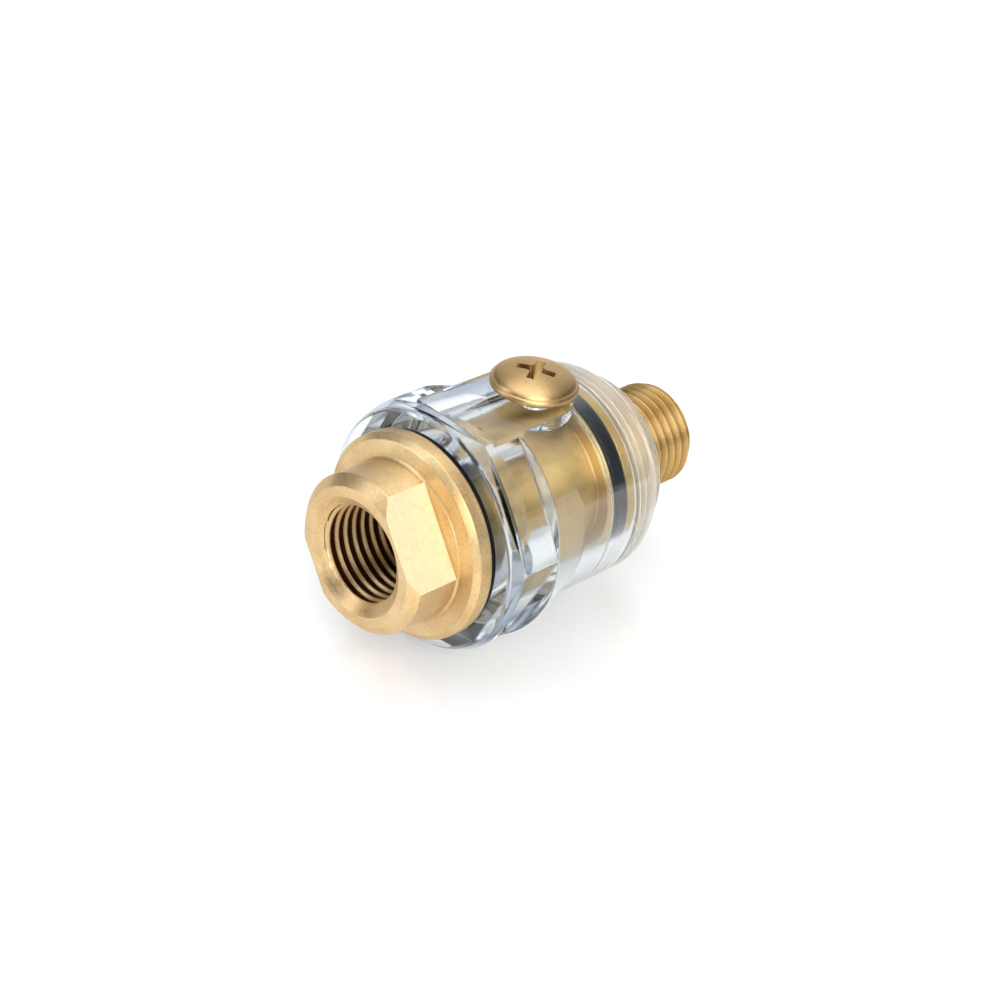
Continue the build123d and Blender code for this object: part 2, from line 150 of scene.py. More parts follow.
def new_piece(name, mesh, place=FLOW_AXIS):
    """Turn a bmesh into an object whose place is in its mesh."""
    close_up(mesh)
    data = bpy.data.meshes.new(name)
    mesh.transform(place)
    mesh.to_mesh(data)
    mesh.free()
    piece = bpy.data.objects.new(name, data)
    bpy.context.scene.collection.objects.link(piece)
    return piece


def combine(piece, tool, operation):
    """Join a tool to a piece or cut it away, and drop the tool."""
    modifier = piece.modifiers.new("combine", "BOOLEAN")
    modifier.operation = operation
    modifier.solver = "EXACT"
    modifier.object = tool
    graph = bpy.context.evaluated_depsgraph_get()
    result = bpy.data.meshes.new_from_object(piece.evaluated_get(graph))
    piece.modifiers.remove(modifier)
    old = piece.data
    piece.data = result
    bpy.data.meshes.remove(old)
    bpy.data.objects.remove(tool)


def smooth(piece, angle=28):
    """Shade smoothly, with a crease wherever two faces meet at more than the angle."""
    data = piece.data
    data.shade_smooth()
    data.set_sharp_from_angle(angle=math.radians(angle))
    weighted = piece.modifiers.new("even shading", "WEIGHTED_NORMAL")
    weighted.keep_sharp = True
    weighted.weight = 80


def dress(piece, material, body, slot, *nodes):
    """Give a finished piece its material, hang it on the body it rides on, and hide the imported nodes it
    stands in for.
    """
    piece.data.materials.clear()
    piece.data.materials.append(material)
    for polygon in piece.data.polygons:
        polygon.material_index = 0
    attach(piece, body)
    if nodes:
        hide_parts(*nodes)


def dress_node(name, material):
    """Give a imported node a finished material."""
    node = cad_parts[name]
    for slot in node.material_slots:
        slot.material = material


# Nodes
# inputs of the Mix node, which has several of one name, and its output for a colour
FACTOR = 0
A_VALUE = 2
B_VALUE = 3
A_COLOUR = 6
B_COLOUR = 7
MIXED_COLOUR = 2


def set_inputs(tree, node, inputs):
    """Set or link a node's inputs."""
    for socket, value in inputs.items():
        target = node.inputs[socket]
        if isinstance(value, bpy.types.NodeSocket):
            tree.links.new(value, target)
        else:
            target.default_value = value


def add_node(tree, kind, inputs=None, **settings):
    """Add a node, set its properties, and set or link its inputs."""
    node = tree.nodes.new(kind)
    for name, value in settings.items():
        setattr(node, name, value)
    set_inputs(tree, node, inputs or {})
    return node


def maths_node(tree, operation, *values, clamp=False):
    """Result of an operation on one or two values."""
    inputs = dict(enumerate(values))
    return add_node(tree, "ShaderNodeMath", inputs, operation=operation, use_clamp=clamp).outputs[0]


def mixed(tree, share, first, second):
    """Value between two others, by the share of the second."""
    inputs = {FACTOR: share, A_VALUE: first, B_VALUE: second}
    return add_node(tree, "ShaderNodeMix", inputs, data_type="FLOAT").outputs[0]


def blended(tree, share, first, second):
    """Colour between two others, by the share of the second."""
    inputs = {FACTOR: share, A_COLOUR: first, B_COLOUR: second}
    return add_node(tree, "ShaderNodeMix", inputs, data_type="RGBA").outputs[MIXED_COLOUR]


def layered(tree, share, first, second):
    """Shader between two others, by the share of the second."""
    return add_node(tree, "ShaderNodeMixShader", {0: share, 1: first, 2: second}).outputs[0]


def ranged(tree, value, low, high, to_low=0.0, to_high=1.0, kind="LINEAR"):
    """Value brought from one range into another, and held inside it."""
    inputs = {"Value": value, "From Min": low, "From Max": high, "To Min": to_low, "To Max": to_high}
    return add_node(tree, "ShaderNodeMapRange", inputs, interpolation_type=kind).outputs[0]


def noise(tree, where, size, detail):
    """Irregular pattern over a place, with its size in mm."""
    inputs = {"Vector": where, "Scale": 1 / (size * MM), "Detail": detail}
    return add_node(tree, "ShaderNodeTexNoise", inputs).outputs["Fac"]


def stripes(tree, along, spacing, detail, roughness=0.5):
    """Irregular stripes along one measure, with their spacing in mm."""
    inputs = {"W": along, "Scale": 1 / (spacing * MM), "Detail": detail, "Roughness": roughness}
    return add_node(tree, "ShaderNodeTexNoise", inputs, noise_dimensions="1D").outputs["Fac"]


def bumped(tree, height, depth, strength, normal=None):
    """Normal bent by a pattern of heights, with its depth in mm."""
    inputs = {"Height": height, "Strength": strength, "Distance": depth * MM}
    bump = add_node(tree, "ShaderNodeBump", inputs)
    if normal is not None:
        tree.links.new(normal, bump.inputs["Normal"])
    return bump.outputs[0]


# Thread tree
def thread_tree(name, material):
    """Geometry Nodes tree that lays a screw thread round the X axis between two plain rings.

    Rows of points follow the helix and are held between Start and End, so both ends close on a
    flat ring. Base Radius is where the groove or ridge grows from. Its height fades in from Fade
    Start to Fade End, and in the run-in, and a cone trims one end.
    """
    rows_in_turn = 14
    spare_turns = 3.0
    turns_ahead = 1.0
    flat = 0.13
    tree = bpy.data.node_groups.new(name, "GeometryNodeTree")
    face = tree.interface
    sizes = ("Start", "End", "Pitch", "Base Radius", "Depth", "Fade Start", "Fade End", "Run-in Start",
             "Run-in End", "Cone Start", "Cone End", "Cone Start Radius", "Cone End Radius")
    for label in sizes:
        face.new_socket(label, in_out="INPUT", socket_type="NodeSocketFloat")
    face.new_socket("Segments", in_out="INPUT", socket_type="NodeSocketInt")
    face.new_socket("Inside", in_out="INPUT", socket_type="NodeSocketBool")
    face.new_socket("Mesh", in_out="OUTPUT", socket_type="NodeSocketGeometry")
    given = tree.nodes.new("NodeGroupInput").outputs
    maths = partial(maths_node, tree)
    turns = maths("CEIL", maths("DIVIDE", maths("SUBTRACT", given["End"], given["Start"]), given["Pitch"]))
    rows = maths("ADD", maths("MULTIPLY", maths("ADD", turns, spare_turns), rows_in_turn), 1.0)
    columns = maths("ADD", given["Segments"], 1.0)
    grid = add_node(tree, "GeometryNodeMeshGrid", {"Vertices X": rows, "Vertices Y": columns})
    index = add_node(tree, "GeometryNodeInputIndex").outputs[0]
    column = maths("MODULO", index, columns)
    # half a point more keeps the rounding clear of whole numbers
    row = maths("FLOOR", maths("DIVIDE", maths("ADD", index, 0.5), columns))
    first = maths("SUBTRACT", maths("FLOOR", maths("DIVIDE", given["Start"], given["Pitch"])), turns_ahead)
    share = maths("DIVIDE", column, given["Segments"])
    along = maths("ADD", maths("ADD", first, maths("DIVIDE", row, rows_in_turn)), share)
    free_x = maths("MULTIPLY", along, given["Pitch"])
    x = maths("MINIMUM", maths("MAXIMUM", free_x, given["Start"]), given["End"])

    phase = maths("DIVIDE", maths("MODULO", row, rows_in_turn), rows_in_turn)
    ridge = maths("ABSOLUTE", maths("SUBTRACT", maths("MULTIPLY", phase, 2.0), 1.0))
    form = maths("DIVIDE", maths("SUBTRACT", ridge, flat), 1.0 - 2.0 * flat, clamp=True)
    fade = ranged(tree, x, given["Fade Start"], given["Fade End"], kind="SMOOTHSTEP")
    run_in = ranged(tree, x, given["Run-in Start"], given["Run-in End"], kind="SMOOTHSTEP")
    height = maths("MULTIPLY", maths("MULTIPLY", form, given["Depth"]), maths("MULTIPLY", fade, run_in))
    thread_radius = maths("ADD", given["Base Radius"], height)
    cone = ranged(tree, x, given["Cone Start"], given["Cone End"],
                  given["Cone Start Radius"], given["Cone End Radius"])
    outer = maths("MINIMUM", thread_radius, cone)
    inner = maths("MAXIMUM", thread_radius, cone)
    radius = add_node(tree, "GeometryNodeSwitch", {
        "Switch": given["Inside"], "False": outer, "True": inner,
    }, input_type="FLOAT").outputs[0]
    turn = maths("MULTIPLY", share, 2.0 * math.pi)
    spot = add_node(tree, "ShaderNodeCombineXYZ", {
        "X": x,
        "Y": maths("MULTIPLY", radius, maths("COSINE", turn)),
        "Z": maths("MULTIPLY", radius, maths("SINE", turn)),
    }).outputs[0]
    placed = add_node(tree, "GeometryNodeSetPosition", {"Geometry": grid.outputs[0], "Position": spot})
    merged = add_node(tree, "GeometryNodeMergeByDistance", {
        "Geometry": placed.outputs[0], "Distance": WELD,
    })
    real = add_node(tree, "GeometryNodeRealizeInstances", {"Geometry": merged.outputs[0]})
    coated = add_node(tree, "GeometryNodeSetMaterial", {"Geometry": real.outputs[0], "Material": material})
    end = tree.nodes.new("NodeGroupOutput")
    tree.links.new(coated.outputs[0], end.inputs["Mesh"])
    return tree


# a thread that keeps its full height up to its start: the run-in lies far in front of every piece, in mm
NO_RUN_IN = {"run_in_start": -99.0, "run_in_end": -98.0}


def thread_mesh(name, material, segments, inside, **sizes):
    """Run the thread tree with its sizes in mm and return the plain mesh it makes."""
    tree = thread_tree(name, material)
    holder = bpy.data.objects.new(name, bpy.data.meshes.new(name))
    bpy.context.scene.collection.objects.link(holder)
    modifier = holder.modifiers.new(name, "NODES")
    modifier.node_group = tree
    for item in tree.interface.items_tree:
        if item.item_type != "SOCKET" or item.in_out != "INPUT":
            continue
        if item.name == "Segments":
            modifier[item.identifier] = segments
        elif item.name == "Inside":
            modifier[item.identifier] = inside
        else:
            key = item.name.lower().replace(" ", "_").replace("-", "_")
            modifier[item.identifier] = float(sizes[key] * MM)
    graph = bpy.context.evaluated_depsgraph_get()
    result = bpy.data.meshes.new_from_object(holder.evaluated_get(graph))
    holder.modifiers.clear()
    bpy.data.objects.remove(holder)
    return result


# Materials
# where most of a noise pattern lies, and most of a mix of patterns
PATTERN = (0.3, 0.7)
MIXED_PATTERN = (0.32, 0.68)


def paint(code):
    """Linear colour for an sRGB hex code such as D9B27C."""
    parts = [int(code[start:start + 2], 16) / 255 for start in (0, 2, 4)]
    linear = [part / 12.92 if part <= 0.04045 else ((part + 0.055) / 1.055) ** 2.4 for part in parts]
    return (*linear, 1.0)


def start_material(name):
    """Material with a plain Principled shader; returns its tree, the shader and the place on a piece."""
    material = bpy.data.materials.new(name)
    material.use_nodes = True
    tree = material.node_tree
    tree.nodes.clear()
    shader = tree.nodes.new("ShaderNodeBsdfPrincipled")
    output = tree.nodes.new("ShaderNodeOutputMaterial")
    tree.links.new(shader.outputs[0], output.inputs["Surface"])
    where = add_node(tree, "ShaderNodeTexCoord").outputs["Object"]
    return tree, shader, where


def axis_turn(centre, axis):
    """Location and rotation that bring a piece's own axis onto the pattern's X axis."""
    if axis == "Z":
        return (centre[2], centre[1], -centre[0]), (0, math.radians(90), 0)
    return tuple(-value for value in centre), (0, 0, 0)


def turned_brass(name, pale, deep, roughness, mark_spacing, mark_depth, centre=(0, 0, 0), axis="X",
                 anisotropy=0.35, metallic=1.0):
    """Machined brass: fine turning rings round the axis, with slow drifts of tone and polish."""
    drift_size = 6.0
    grain_size = 0.35
    ring_share = 0.35
    grain_share = 0.3
    # reach, share and fade of the painted shade in the inside corners
    shade_reach = 1.6
    shade_share = 0.62
    shade_fade = (0.25, 0.75)
    grain_polish = 0.5
    worn_edge = 0.08
    uneven = 0.24
    quarter_turn = 0.25
    tree, shader, where = start_material(name)
    location, rotation = axis_turn(centre, axis)
    centred = add_node(tree, "ShaderNodeMapping", {
        "Vector": where, "Location": location, "Rotation": rotation,
    }).outputs[0]
    split = add_node(tree, "ShaderNodeSeparateXYZ", {"Vector": centred})
    across = add_node(tree, "ShaderNodeCombineXYZ", {"Y": split.outputs["Y"], "Z": split.outputs["Z"]})
    radius = add_node(tree, "ShaderNodeVectorMath", {0: across.outputs[0]}, operation="LENGTH")
    along = maths_node(tree, "ADD", split.outputs["X"], radius.outputs["Value"])
    rings = stripes(tree, along, mark_spacing, detail=3.0, roughness=0.6)
    drift = noise(tree, centred, drift_size, detail=2.0)
    grain = noise(tree, centred, grain_size, detail=3.0)
    tone = mixed(tree, ring_share, drift, rings)
    tone = mixed(tree, grain_share, tone, grain)
    ramp = ranged(tree, tone, *MIXED_PATTERN)
    unshaded_tone = blended(tree, ramp, deep, pale)
    # painted shade: the inside corners are darkened towards a deep brown by their ambient occlusion
    corner = add_node(tree, "ShaderNodeAmbientOcclusion", {"Distance": shade_reach * MM}, samples=8,
                      only_local=True).outputs["AO"]
    unshaded_share = ranged(tree, corner, *shade_fade)
    painted_shade_tone = blended(tree, shade_share, deep, paint("5A3A1C"))
    shade = blended(tree, unshaded_share, painted_shade_tone, unshaded_tone)
    polish = mixed(tree, grain_polish, rings, grain)
    rough = ranged(tree, polish, *PATTERN, roughness * (1 - uneven), roughness * (1 + uneven))
    edge = add_node(tree, "ShaderNodeBevel", {"Radius": worn_edge * MM}, samples=4).outputs[0]
    marks = bumped(tree, rings, mark_depth, strength=0.6, normal=edge)
    # the lathe's rings throw light out along the axis, a quarter turn from their own run
    tangent = add_node(tree, "ShaderNodeTangent", direction_type="RADIAL", axis=axis).outputs[0]
    set_inputs(tree, shader, {
        "Base Color": shade, "Roughness": rough, "Normal": marks, "Metallic": metallic,
        "Anisotropic": anisotropy, "Anisotropic Rotation": quarter_turn, "Tangent": tangent,
    })


def milled_brass(name, pale, deep, roughness, mark_spacing):
    """Milled brass: paler than the turned faces, with straight cutter marks across the flow axis."""
    stain_size = 0.8
    stain_share = 0.6
    mark_depth = 0.003
    tree, shader, where = start_material(name)
    split = add_node(tree, "ShaderNodeSeparateXYZ", {"Vector": where})
    marks = stripes(tree, split.outputs["X"], mark_spacing, detail=2.0)
    stains = noise(tree, where, stain_size, detail=4.0)
    tone = mixed(tree, stain_share, marks, stains)
    ramp = ranged(tree, tone, *MIXED_PATTERN)
    shade = blended(tree, ramp, deep, pale)
    set_inputs(tree, shader, {
        "Base Color": shade, "Roughness": roughness, "Metallic": 0.35,
        "Normal": bumped(tree, marks, mark_depth, strength=0.5),
    })


def clear_polycarbonate(name, tint, least_rough, most_rough, haze=0.0):
    """Clear polycarbonate with softly rounded edges, as glossy or hazy as it was left by its making."""
    flow_size = 9.0
    flow_depth = 0.03
    round_edge = 0.25
    deepest_glossy_ray = 2.5
    tree, shader, where = start_material(name)
    flow = noise(tree, where, flow_size, detail=1.0)
    rough = ranged(tree, flow, *PATTERN, least_rough, most_rough)
    edge = add_node(tree, "ShaderNodeBevel", {"Radius": round_edge * MM}, samples=6).outputs[0]
    sink = bumped(tree, flow, flow_depth, strength=0.25, normal=edge)
    set_inputs(tree, shader, {
        "Base Color": tint, "Roughness": rough, "Normal": sink, "Transmission Weight": 1.0, "IOR": 1.585,
    })
    output = next(node for node in tree.nodes if node.type == "OUTPUT_MATERIAL")
    rays = add_node(tree, "ShaderNodeLightPath")
    body = shader.outputs[0]
    if haze > 0:
        scatter = add_node(tree, "ShaderNodeBsdfDiffuse", {"Color": paint("F8EDDA")}).outputs[0]
        body = layered(tree, haze, body, scatter)
    # light that has bounced about in the plastic for long goes straight on, a little dimmed
    long_path = maths_node(tree, "GREATER_THAN", rays.outputs["Glossy Depth"], deepest_glossy_ray)
    dimmed = add_node(tree, "ShaderNodeBsdfTransparent", {"Color": paint("BEC8D4")}).outputs[0]
    body = layered(tree, long_path, body, dimmed)
    # the shadow is pale, as clear plastic lets most of the light through
    passing = add_node(tree, "ShaderNodeBsdfTransparent", {"Color": paint("DFE3E3")}).outputs[0]
    whole = layered(tree, rays.outputs["Is Shadow Ray"], body, passing)
    tree.links.new(whole, output.inputs["Surface"])


def rubber(name, shade, roughness):
    """Nitrile rubber: near black, dull, with a fine moulded grain."""
    grain_size = 0.4
    grain_depth = 0.01
    uneven = 0.08
    tree, shader, where = start_material(name)
    grain = noise(tree, where, grain_size, detail=3.0)
    set_inputs(tree, shader, {
        "Base Color": shade, "Specular IOR Level": 0.2,
        "Roughness": ranged(tree, grain, *PATTERN, roughness - uneven, roughness + uneven),
        "Normal": bumped(tree, grain, grain_depth, strength=0.3),
    })


def grained(name, pale, deep, grain_size, roughness, grain_depth, metallic=0.0):
    """Material with a fine irregular grain, for thread roots with painted shade, nylon, felt, sintered
    bronze and steel.
    """
    tree, shader, where = start_material(name)
    grain = noise(tree, where, grain_size, detail=4.0)
    set_inputs(tree, shader, {
        "Base Color": blended(tree, grain, deep, pale), "Roughness": roughness, "Metallic": metallic,
        "Normal": bumped(tree, grain, grain_depth, strength=0.5),
    })


# Settings
def length(name, description, mm):
    """Property for a length, with its default given in mm."""
    return FloatProperty(name=name, description=description, default=mm * MM, unit="LENGTH", precision=5)


def number(name, description, value):
    """Property for a plain number."""
    return FloatProperty(name=name, description=description, default=value)


def turn(name, description, degrees):
    """Property for an angle, with its default given in degrees."""
    return FloatProperty(name=name, description=description, default=math.radians(degrees), unit="ROTATION")


def colour(name, description, code):
    """Property for a colour, with its default given as sRGB hex."""
    return FloatVectorProperty(name=name, description=description, default=paint(code), size=4,
                               min=0.0, max=1.0, subtype="COLOR")


def in_mm(settings):
    """A settings group's values by name, with its lengths in mm."""
    values = {}
    for entry in settings.bl_rna.properties:
        if entry.identifier in ("rna_type", "name"):
            continue
        value = getattr(settings, entry.identifier)
        if getattr(entry, "unit", "NONE") == "LENGTH":
            value = round(value / MM, 4)
        values[entry.identifier] = value
    return SimpleNamespace(**values)


def span(node, axis=0):
    """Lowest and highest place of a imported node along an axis, in mm."""
    low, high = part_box(node)
    return round(low[axis] / MM, 3), round(high[axis] / MM, 3)


class LubricatorFinishes(bpy.types.PropertyGroup):
    """Colours of the finishes"""
    inlet_pale: colour("Inlet brass, pale", "Lighter tone of the satin turned inlet body", "E4CB9A")
    inlet_deep: colour("Inlet brass, deep", "Deeper tone of the satin turned inlet body", "BB945F")
    flat_pale: colour("Flats, pale", "Lighter tone of the milled wrench flats", "F7E6BA")
    flat_deep: colour("Flats, deep", "Deeper tone of the milled wrench flats", "EED5A6")
    core_pale: colour("Core brass, pale", "Lighter tone of the turned core", "E6C587")
    core_deep: colour("Core brass, deep", "Deeper tone of the turned core", "C49B5A")
    screw_pale: colour("Screw brass, pale", "Lighter tone of the polished screws", "CBAC7C")
    screw_deep: colour("Screw brass, deep", "Deeper tone of the polished screws", "B0905C")
    plastic: colour("Clear plastic", "Tint of the clear reservoir", "F4F8F8")
    # painted shade: the dark red-brown laid in the roots of the female thread
    root: colour("Thread roots", "Oiled brass in the roots of the female thread", "7A4A26")
    rubber: colour("Rubber", "Colour of the seals", "08080A")


class LubricatorThreads(bpy.types.PropertyGroup):
    """Sizes of the threads"""
    pipe_pitch: length("Pipe thread pitch", "Distance between crests, 19 to the inch", 1.337)
    pipe_minor: length("Pipe thread minor radius", "Radius at the bottom of the male thread", 5.72)
    pipe_depth: length("Pipe thread depth", "Height of a crest", 0.86)
    body_pitch: length("Body thread pitch", "Pitch of the thread between core and reservoir", 1.0)
    body_minor: length("Body thread minor radius", "Radius at the bottom of the core's rear thread", 9.25)
    body_depth: length("Body thread depth", "Height of a crest of the rear thread", 0.55)
    around: IntProperty(name="Segments", description="Points round a turned piece", default=192, min=48)


class LubricatorInlet(bpy.types.PropertyGroup):
    """Sizes of the inlet body"""
    boss_radius: length("Boss radius", "Outside of the boss", 9.6)
    boss_chamfer: length("Boss chamfer", "Chamfer at the boss's front edge", 1.2)
    mouth_radius: length("Mouth radius", "Countersink at the inlet's face", 7.2)
    mouth_depth: length("Mouth depth", "Depth of the countersink", 1.1)
    thread_end: length("Thread length", "From the face to the web", 11.5)
    web: length("Web", "Thickness of the web behind the thread", 1.0)
    web_radius: length("Web bore radius", "Hole through the web", 4.8)
    flange_front: length("Flange place", "From the face to the flange", 6.9)
    flange_radius: length("Flange radius", "Outside of the flange", 12.5)
    flange_thickness: length("Flange thickness", "Along the axis", 2.6)
    flange_chamfer: length("Flange chamfer", "Chamfer at the flange's front edge", 0.7)
    spigot_radius: length("Spigot radius", "Outside of the spigot in the reservoir", 10.4)
    socket_radius: length("Socket radius", "Thread that takes the core's nose", 8.0)
    flats_height: length("Flats height", "From the axis to a wrench flat", 7.7)
    flats_turn: turn("Flats turn", "Turn of the near flat from the top", 53.5)


class LubricatorCore(bpy.types.PropertyGroup):
    """Sizes of the core"""
    nose_radius: length("Nose radius", "Outside of the threaded nose", 7.95)
    nose_length: length("Nose length", "From the nose's front to the barrel", 4.2)
    barrel_radius: length("Barrel radius", "Barrel through the oil space", 8.4)
    land_front: length("Land front", "Front of the sealing land, ahead of the rear face", 9.73)
    land_radius: length("Land radius", "Outside of the land behind the seal", 10.2)
    lip_radius: length("Lip radius", "Outside of the lip in front of the seal", 10.2)
    groove_front: length("Groove front", "Front of the seal's groove, ahead of the rear face", 9.13)
    groove_rear: length("Groove rear", "Rear of the seal's groove, ahead of the rear face", 6.73)
    groove_radius: length("Groove radius", "Bottom of the seal's groove", 8.45)
    land_rear: length("Land rear", "Rear of the land, ahead of the rear face", 5.53)
    jet_bore_radius: length("Jet bore radius", "Bore that takes the jet block", 6.2)
    jet_bore_rear: length("Jet bore rear", "End of that bore, ahead of the rear face", 16.74)
    outlet_bore_radius: length("Outlet bore radius", "Bore through the outlet", 4.0)


class LubricatorReservoir(bpy.types.PropertyGroup):
    """Sizes of the clear reservoir"""
    collar_radius: length("Collar radius", "Front rim", 14.5)
    blank_radius: length("Blank radius", "Turned form behind the hexagon's corners", 15.5)
    body_radius: length("Body radius", "Cylinder behind the taper", 13.4)
    hexagon_height: length("Hexagon height", "From the axis to a flat", 13.25)
    hexagon_turn: turn("Hexagon turn", "Turn of the top flat from the top", -6.0)
    hexagon_front: length("Hexagon front", "From the front face to the hexagon's corners", 2.2)
    hexagon_length: length("Hexagon length", "Along the axis, at the corners", 4.7)
    front_bow: length("Front bow", "Bow of a flat's front line", 0.9)
    rear_bow: length("Rear bow", "Bow of a flat's rear line", 0.5)
    taper_length: length("Taper length", "From the hexagon to the cylinder", 6.4)
    bore_radius: length("Bore radius", "Oil space", 10.6)
    seal_bore_radius: length("Seal bore radius", "Narrower bore round the sealing land", 10.4)
    seal_bore_length: length("Seal bore length", "From its lead-in to the rear thread", 4.23)
    seal_bore_lead: length("Seal bore lead-in", "Length of the cone into the narrower bore", 0.3)
    pad_height: length("Pad height", "From the axis to the pad's face", 13.55)
    pad_half_width: length("Pad half width", "Half of the pad's width", 5.9)
    pad_front: length("Pad front", "From the front face to the pad", 3.1)
    pad_round: length("Pad round", "From the front face to the centre of the pad's round end", 14.6)
    thread_length: length("Rear thread length", "Length of the rear thread", 5.9)


class LubricatorFillScrew(bpy.types.PropertyGroup):
    """Sizes of the fill screw"""
    head_radius: length("Head radius", "Outside of the head", 5.3)
    lip: length("Lip height", "Height of the head's rounded lip", 0.8)
    dome: length("Dome height", "Rise of the head above its lip", 1.45)
    neck_top_radius: length("Neck top radius", "Cone under the head, at the top", 4.6)
    neck_radius: length("Neck radius", "Cone under the head, at the pad", 3.3)
    shank_radius: length("Shank radius", "Threaded shank", 2.45)
    shank_pitch: length("Shank pitch", "Distance between the shank's crests", 0.8)
    shank_depth: length("Shank thread depth", "Depth of the shank's thread", 0.45)
    recess_span: length("Recess span", "Across the cross recess", 4.8)
    recess_arm: length("Recess arm", "Width of an arm of the recess", 1.15)
    recess_depth: length("Recess depth", "Depth of the recess", 2.0)
    recess_turn: turn("Recess turn", "Turn of the recess", 27.5)


class LubricatorStudio(bpy.types.PropertyGroup):
    """Light, floor and camera"""
    lens: number("Lens", "Focal length in mm on a 36 mm sensor", 79.2)
    floor_reach: length("Floor reach", "Half of the floor's width", 3000)
    floor_glow: number("Floor glow", "Glow of the floor near the object", 0.27)
    floor_glow_far: number("Floor glow, far", "Glow of the floor far away", 1.0)
    key: number("Side softbox", "Power of the softbox at the camera's right", 1.22)
    overhead: number("Top softbox", "Power of the softbox overhead", 0.45)
    fill: number("Fill softbox", "Power of the softbox at the left", 0.35)
    surround: number("Surround", "Strength of the white surround as light", 0.45)
    mirrored_room: number("Mirrored room", "Dimmer part of the room in reflections", 0.16)
    room_through_plastic: number("Room through plastic", "Dimmer part of the room, seen in plastic", 0.30)


# Shapes that the operators share
def block(low, high, place=FLOW_AXIS):
    """Box tool between two corners in mm, turned and moved by a matrix."""
    mesh = bmesh.new()
    middle = (Vector(low) + Vector(high)) / 2 * MM
    size = (Vector(high) - Vector(low)) * MM
    shape = Matrix.Translation(middle) @ Matrix.Diagonal((*size, 1.0))
    bmesh.ops.create_cube(mesh, size=1.0, matrix=shape)
    return new_piece("tool", mesh, place)


def turned(profile, place=FLOW_AXIS, segments=96, name="tool"):
    """Closed turned form, its axis moved by a matrix."""
    mesh = bmesh.new()
    spin(mesh, profile, segments)
    return new_piece(name, mesh, place)


def wall(mesh, ring, following):
    """Join two rings with as many points by a band of faces."""
    for step in range(len(ring)):
        beside = (step + 1) % len(ring)
        mesh.faces.new((ring[step], ring[beside], following[beside], following[step]))


def prism(outline, low, high, place=FLOW_AXIS):
    """Tool with an outline of (x, y) points in mm, from a low to a high z, moved by a matrix."""
    mesh = bmesh.new()
    rings = [[mesh.verts.new((x * MM, y * MM, z * MM)) for x, y in outline] for z in (low, high)]
    mesh.faces.new(rings[0])
    mesh.faces.new(rings[1])
    wall(mesh, rings[0], rings[1])
    return new_piece("tool", mesh, place)


def cross_tool(levels, turned_by, centre):
    """Tool for a cross recess that stands at a place on the flow axis, in mm.

    Each level, from the top down, is its height, half the width and half the span of an arm, and the
    fillet between two arms.
    """
    fillet_steps = 4
    mesh = bmesh.new()
    rings = []
    for z, half_arm, half_span, fillet in levels:
        ring = []
        for quarter in range(4):
            corner = [(half_span, -half_arm), (half_span, half_arm)]
            for step in range(fillet_steps + 1):
                around = math.pi / 2 * step / fillet_steps
                corner.append((half_arm + fillet - fillet * math.sin(around),
                               half_arm + fillet - fillet * math.cos(around)))
            way = turned_by + quarter * math.pi / 2
            for x, y in corner:
                ring.append(mesh.verts.new(((centre + x * math.cos(way) - y * math.sin(way)) * MM,
                                            (x * math.sin(way) + y * math.cos(way)) * MM,
                                            z * MM)))
        rings.append(ring)
    mesh.faces.new(rings[0])
    mesh.faces.new(rings[-1])
    for upper, lower in zip(rings, rings[1:]):
        wall(mesh, upper, lower)
    return new_piece("tool", mesh)


def upright(x):
    """Matrix that stands a turned form's axis up along +Z at a place on the flow axis, in mm."""
    return Matrix.Translation((x * MM, 0, 0)) @ Matrix.Rotation(math.radians(-90), 4, "Y")


def rolled(angle):
    """Matrix that turns +Z towards -Y about the flow axis."""
    return Matrix.Rotation(angle, 4, "X")


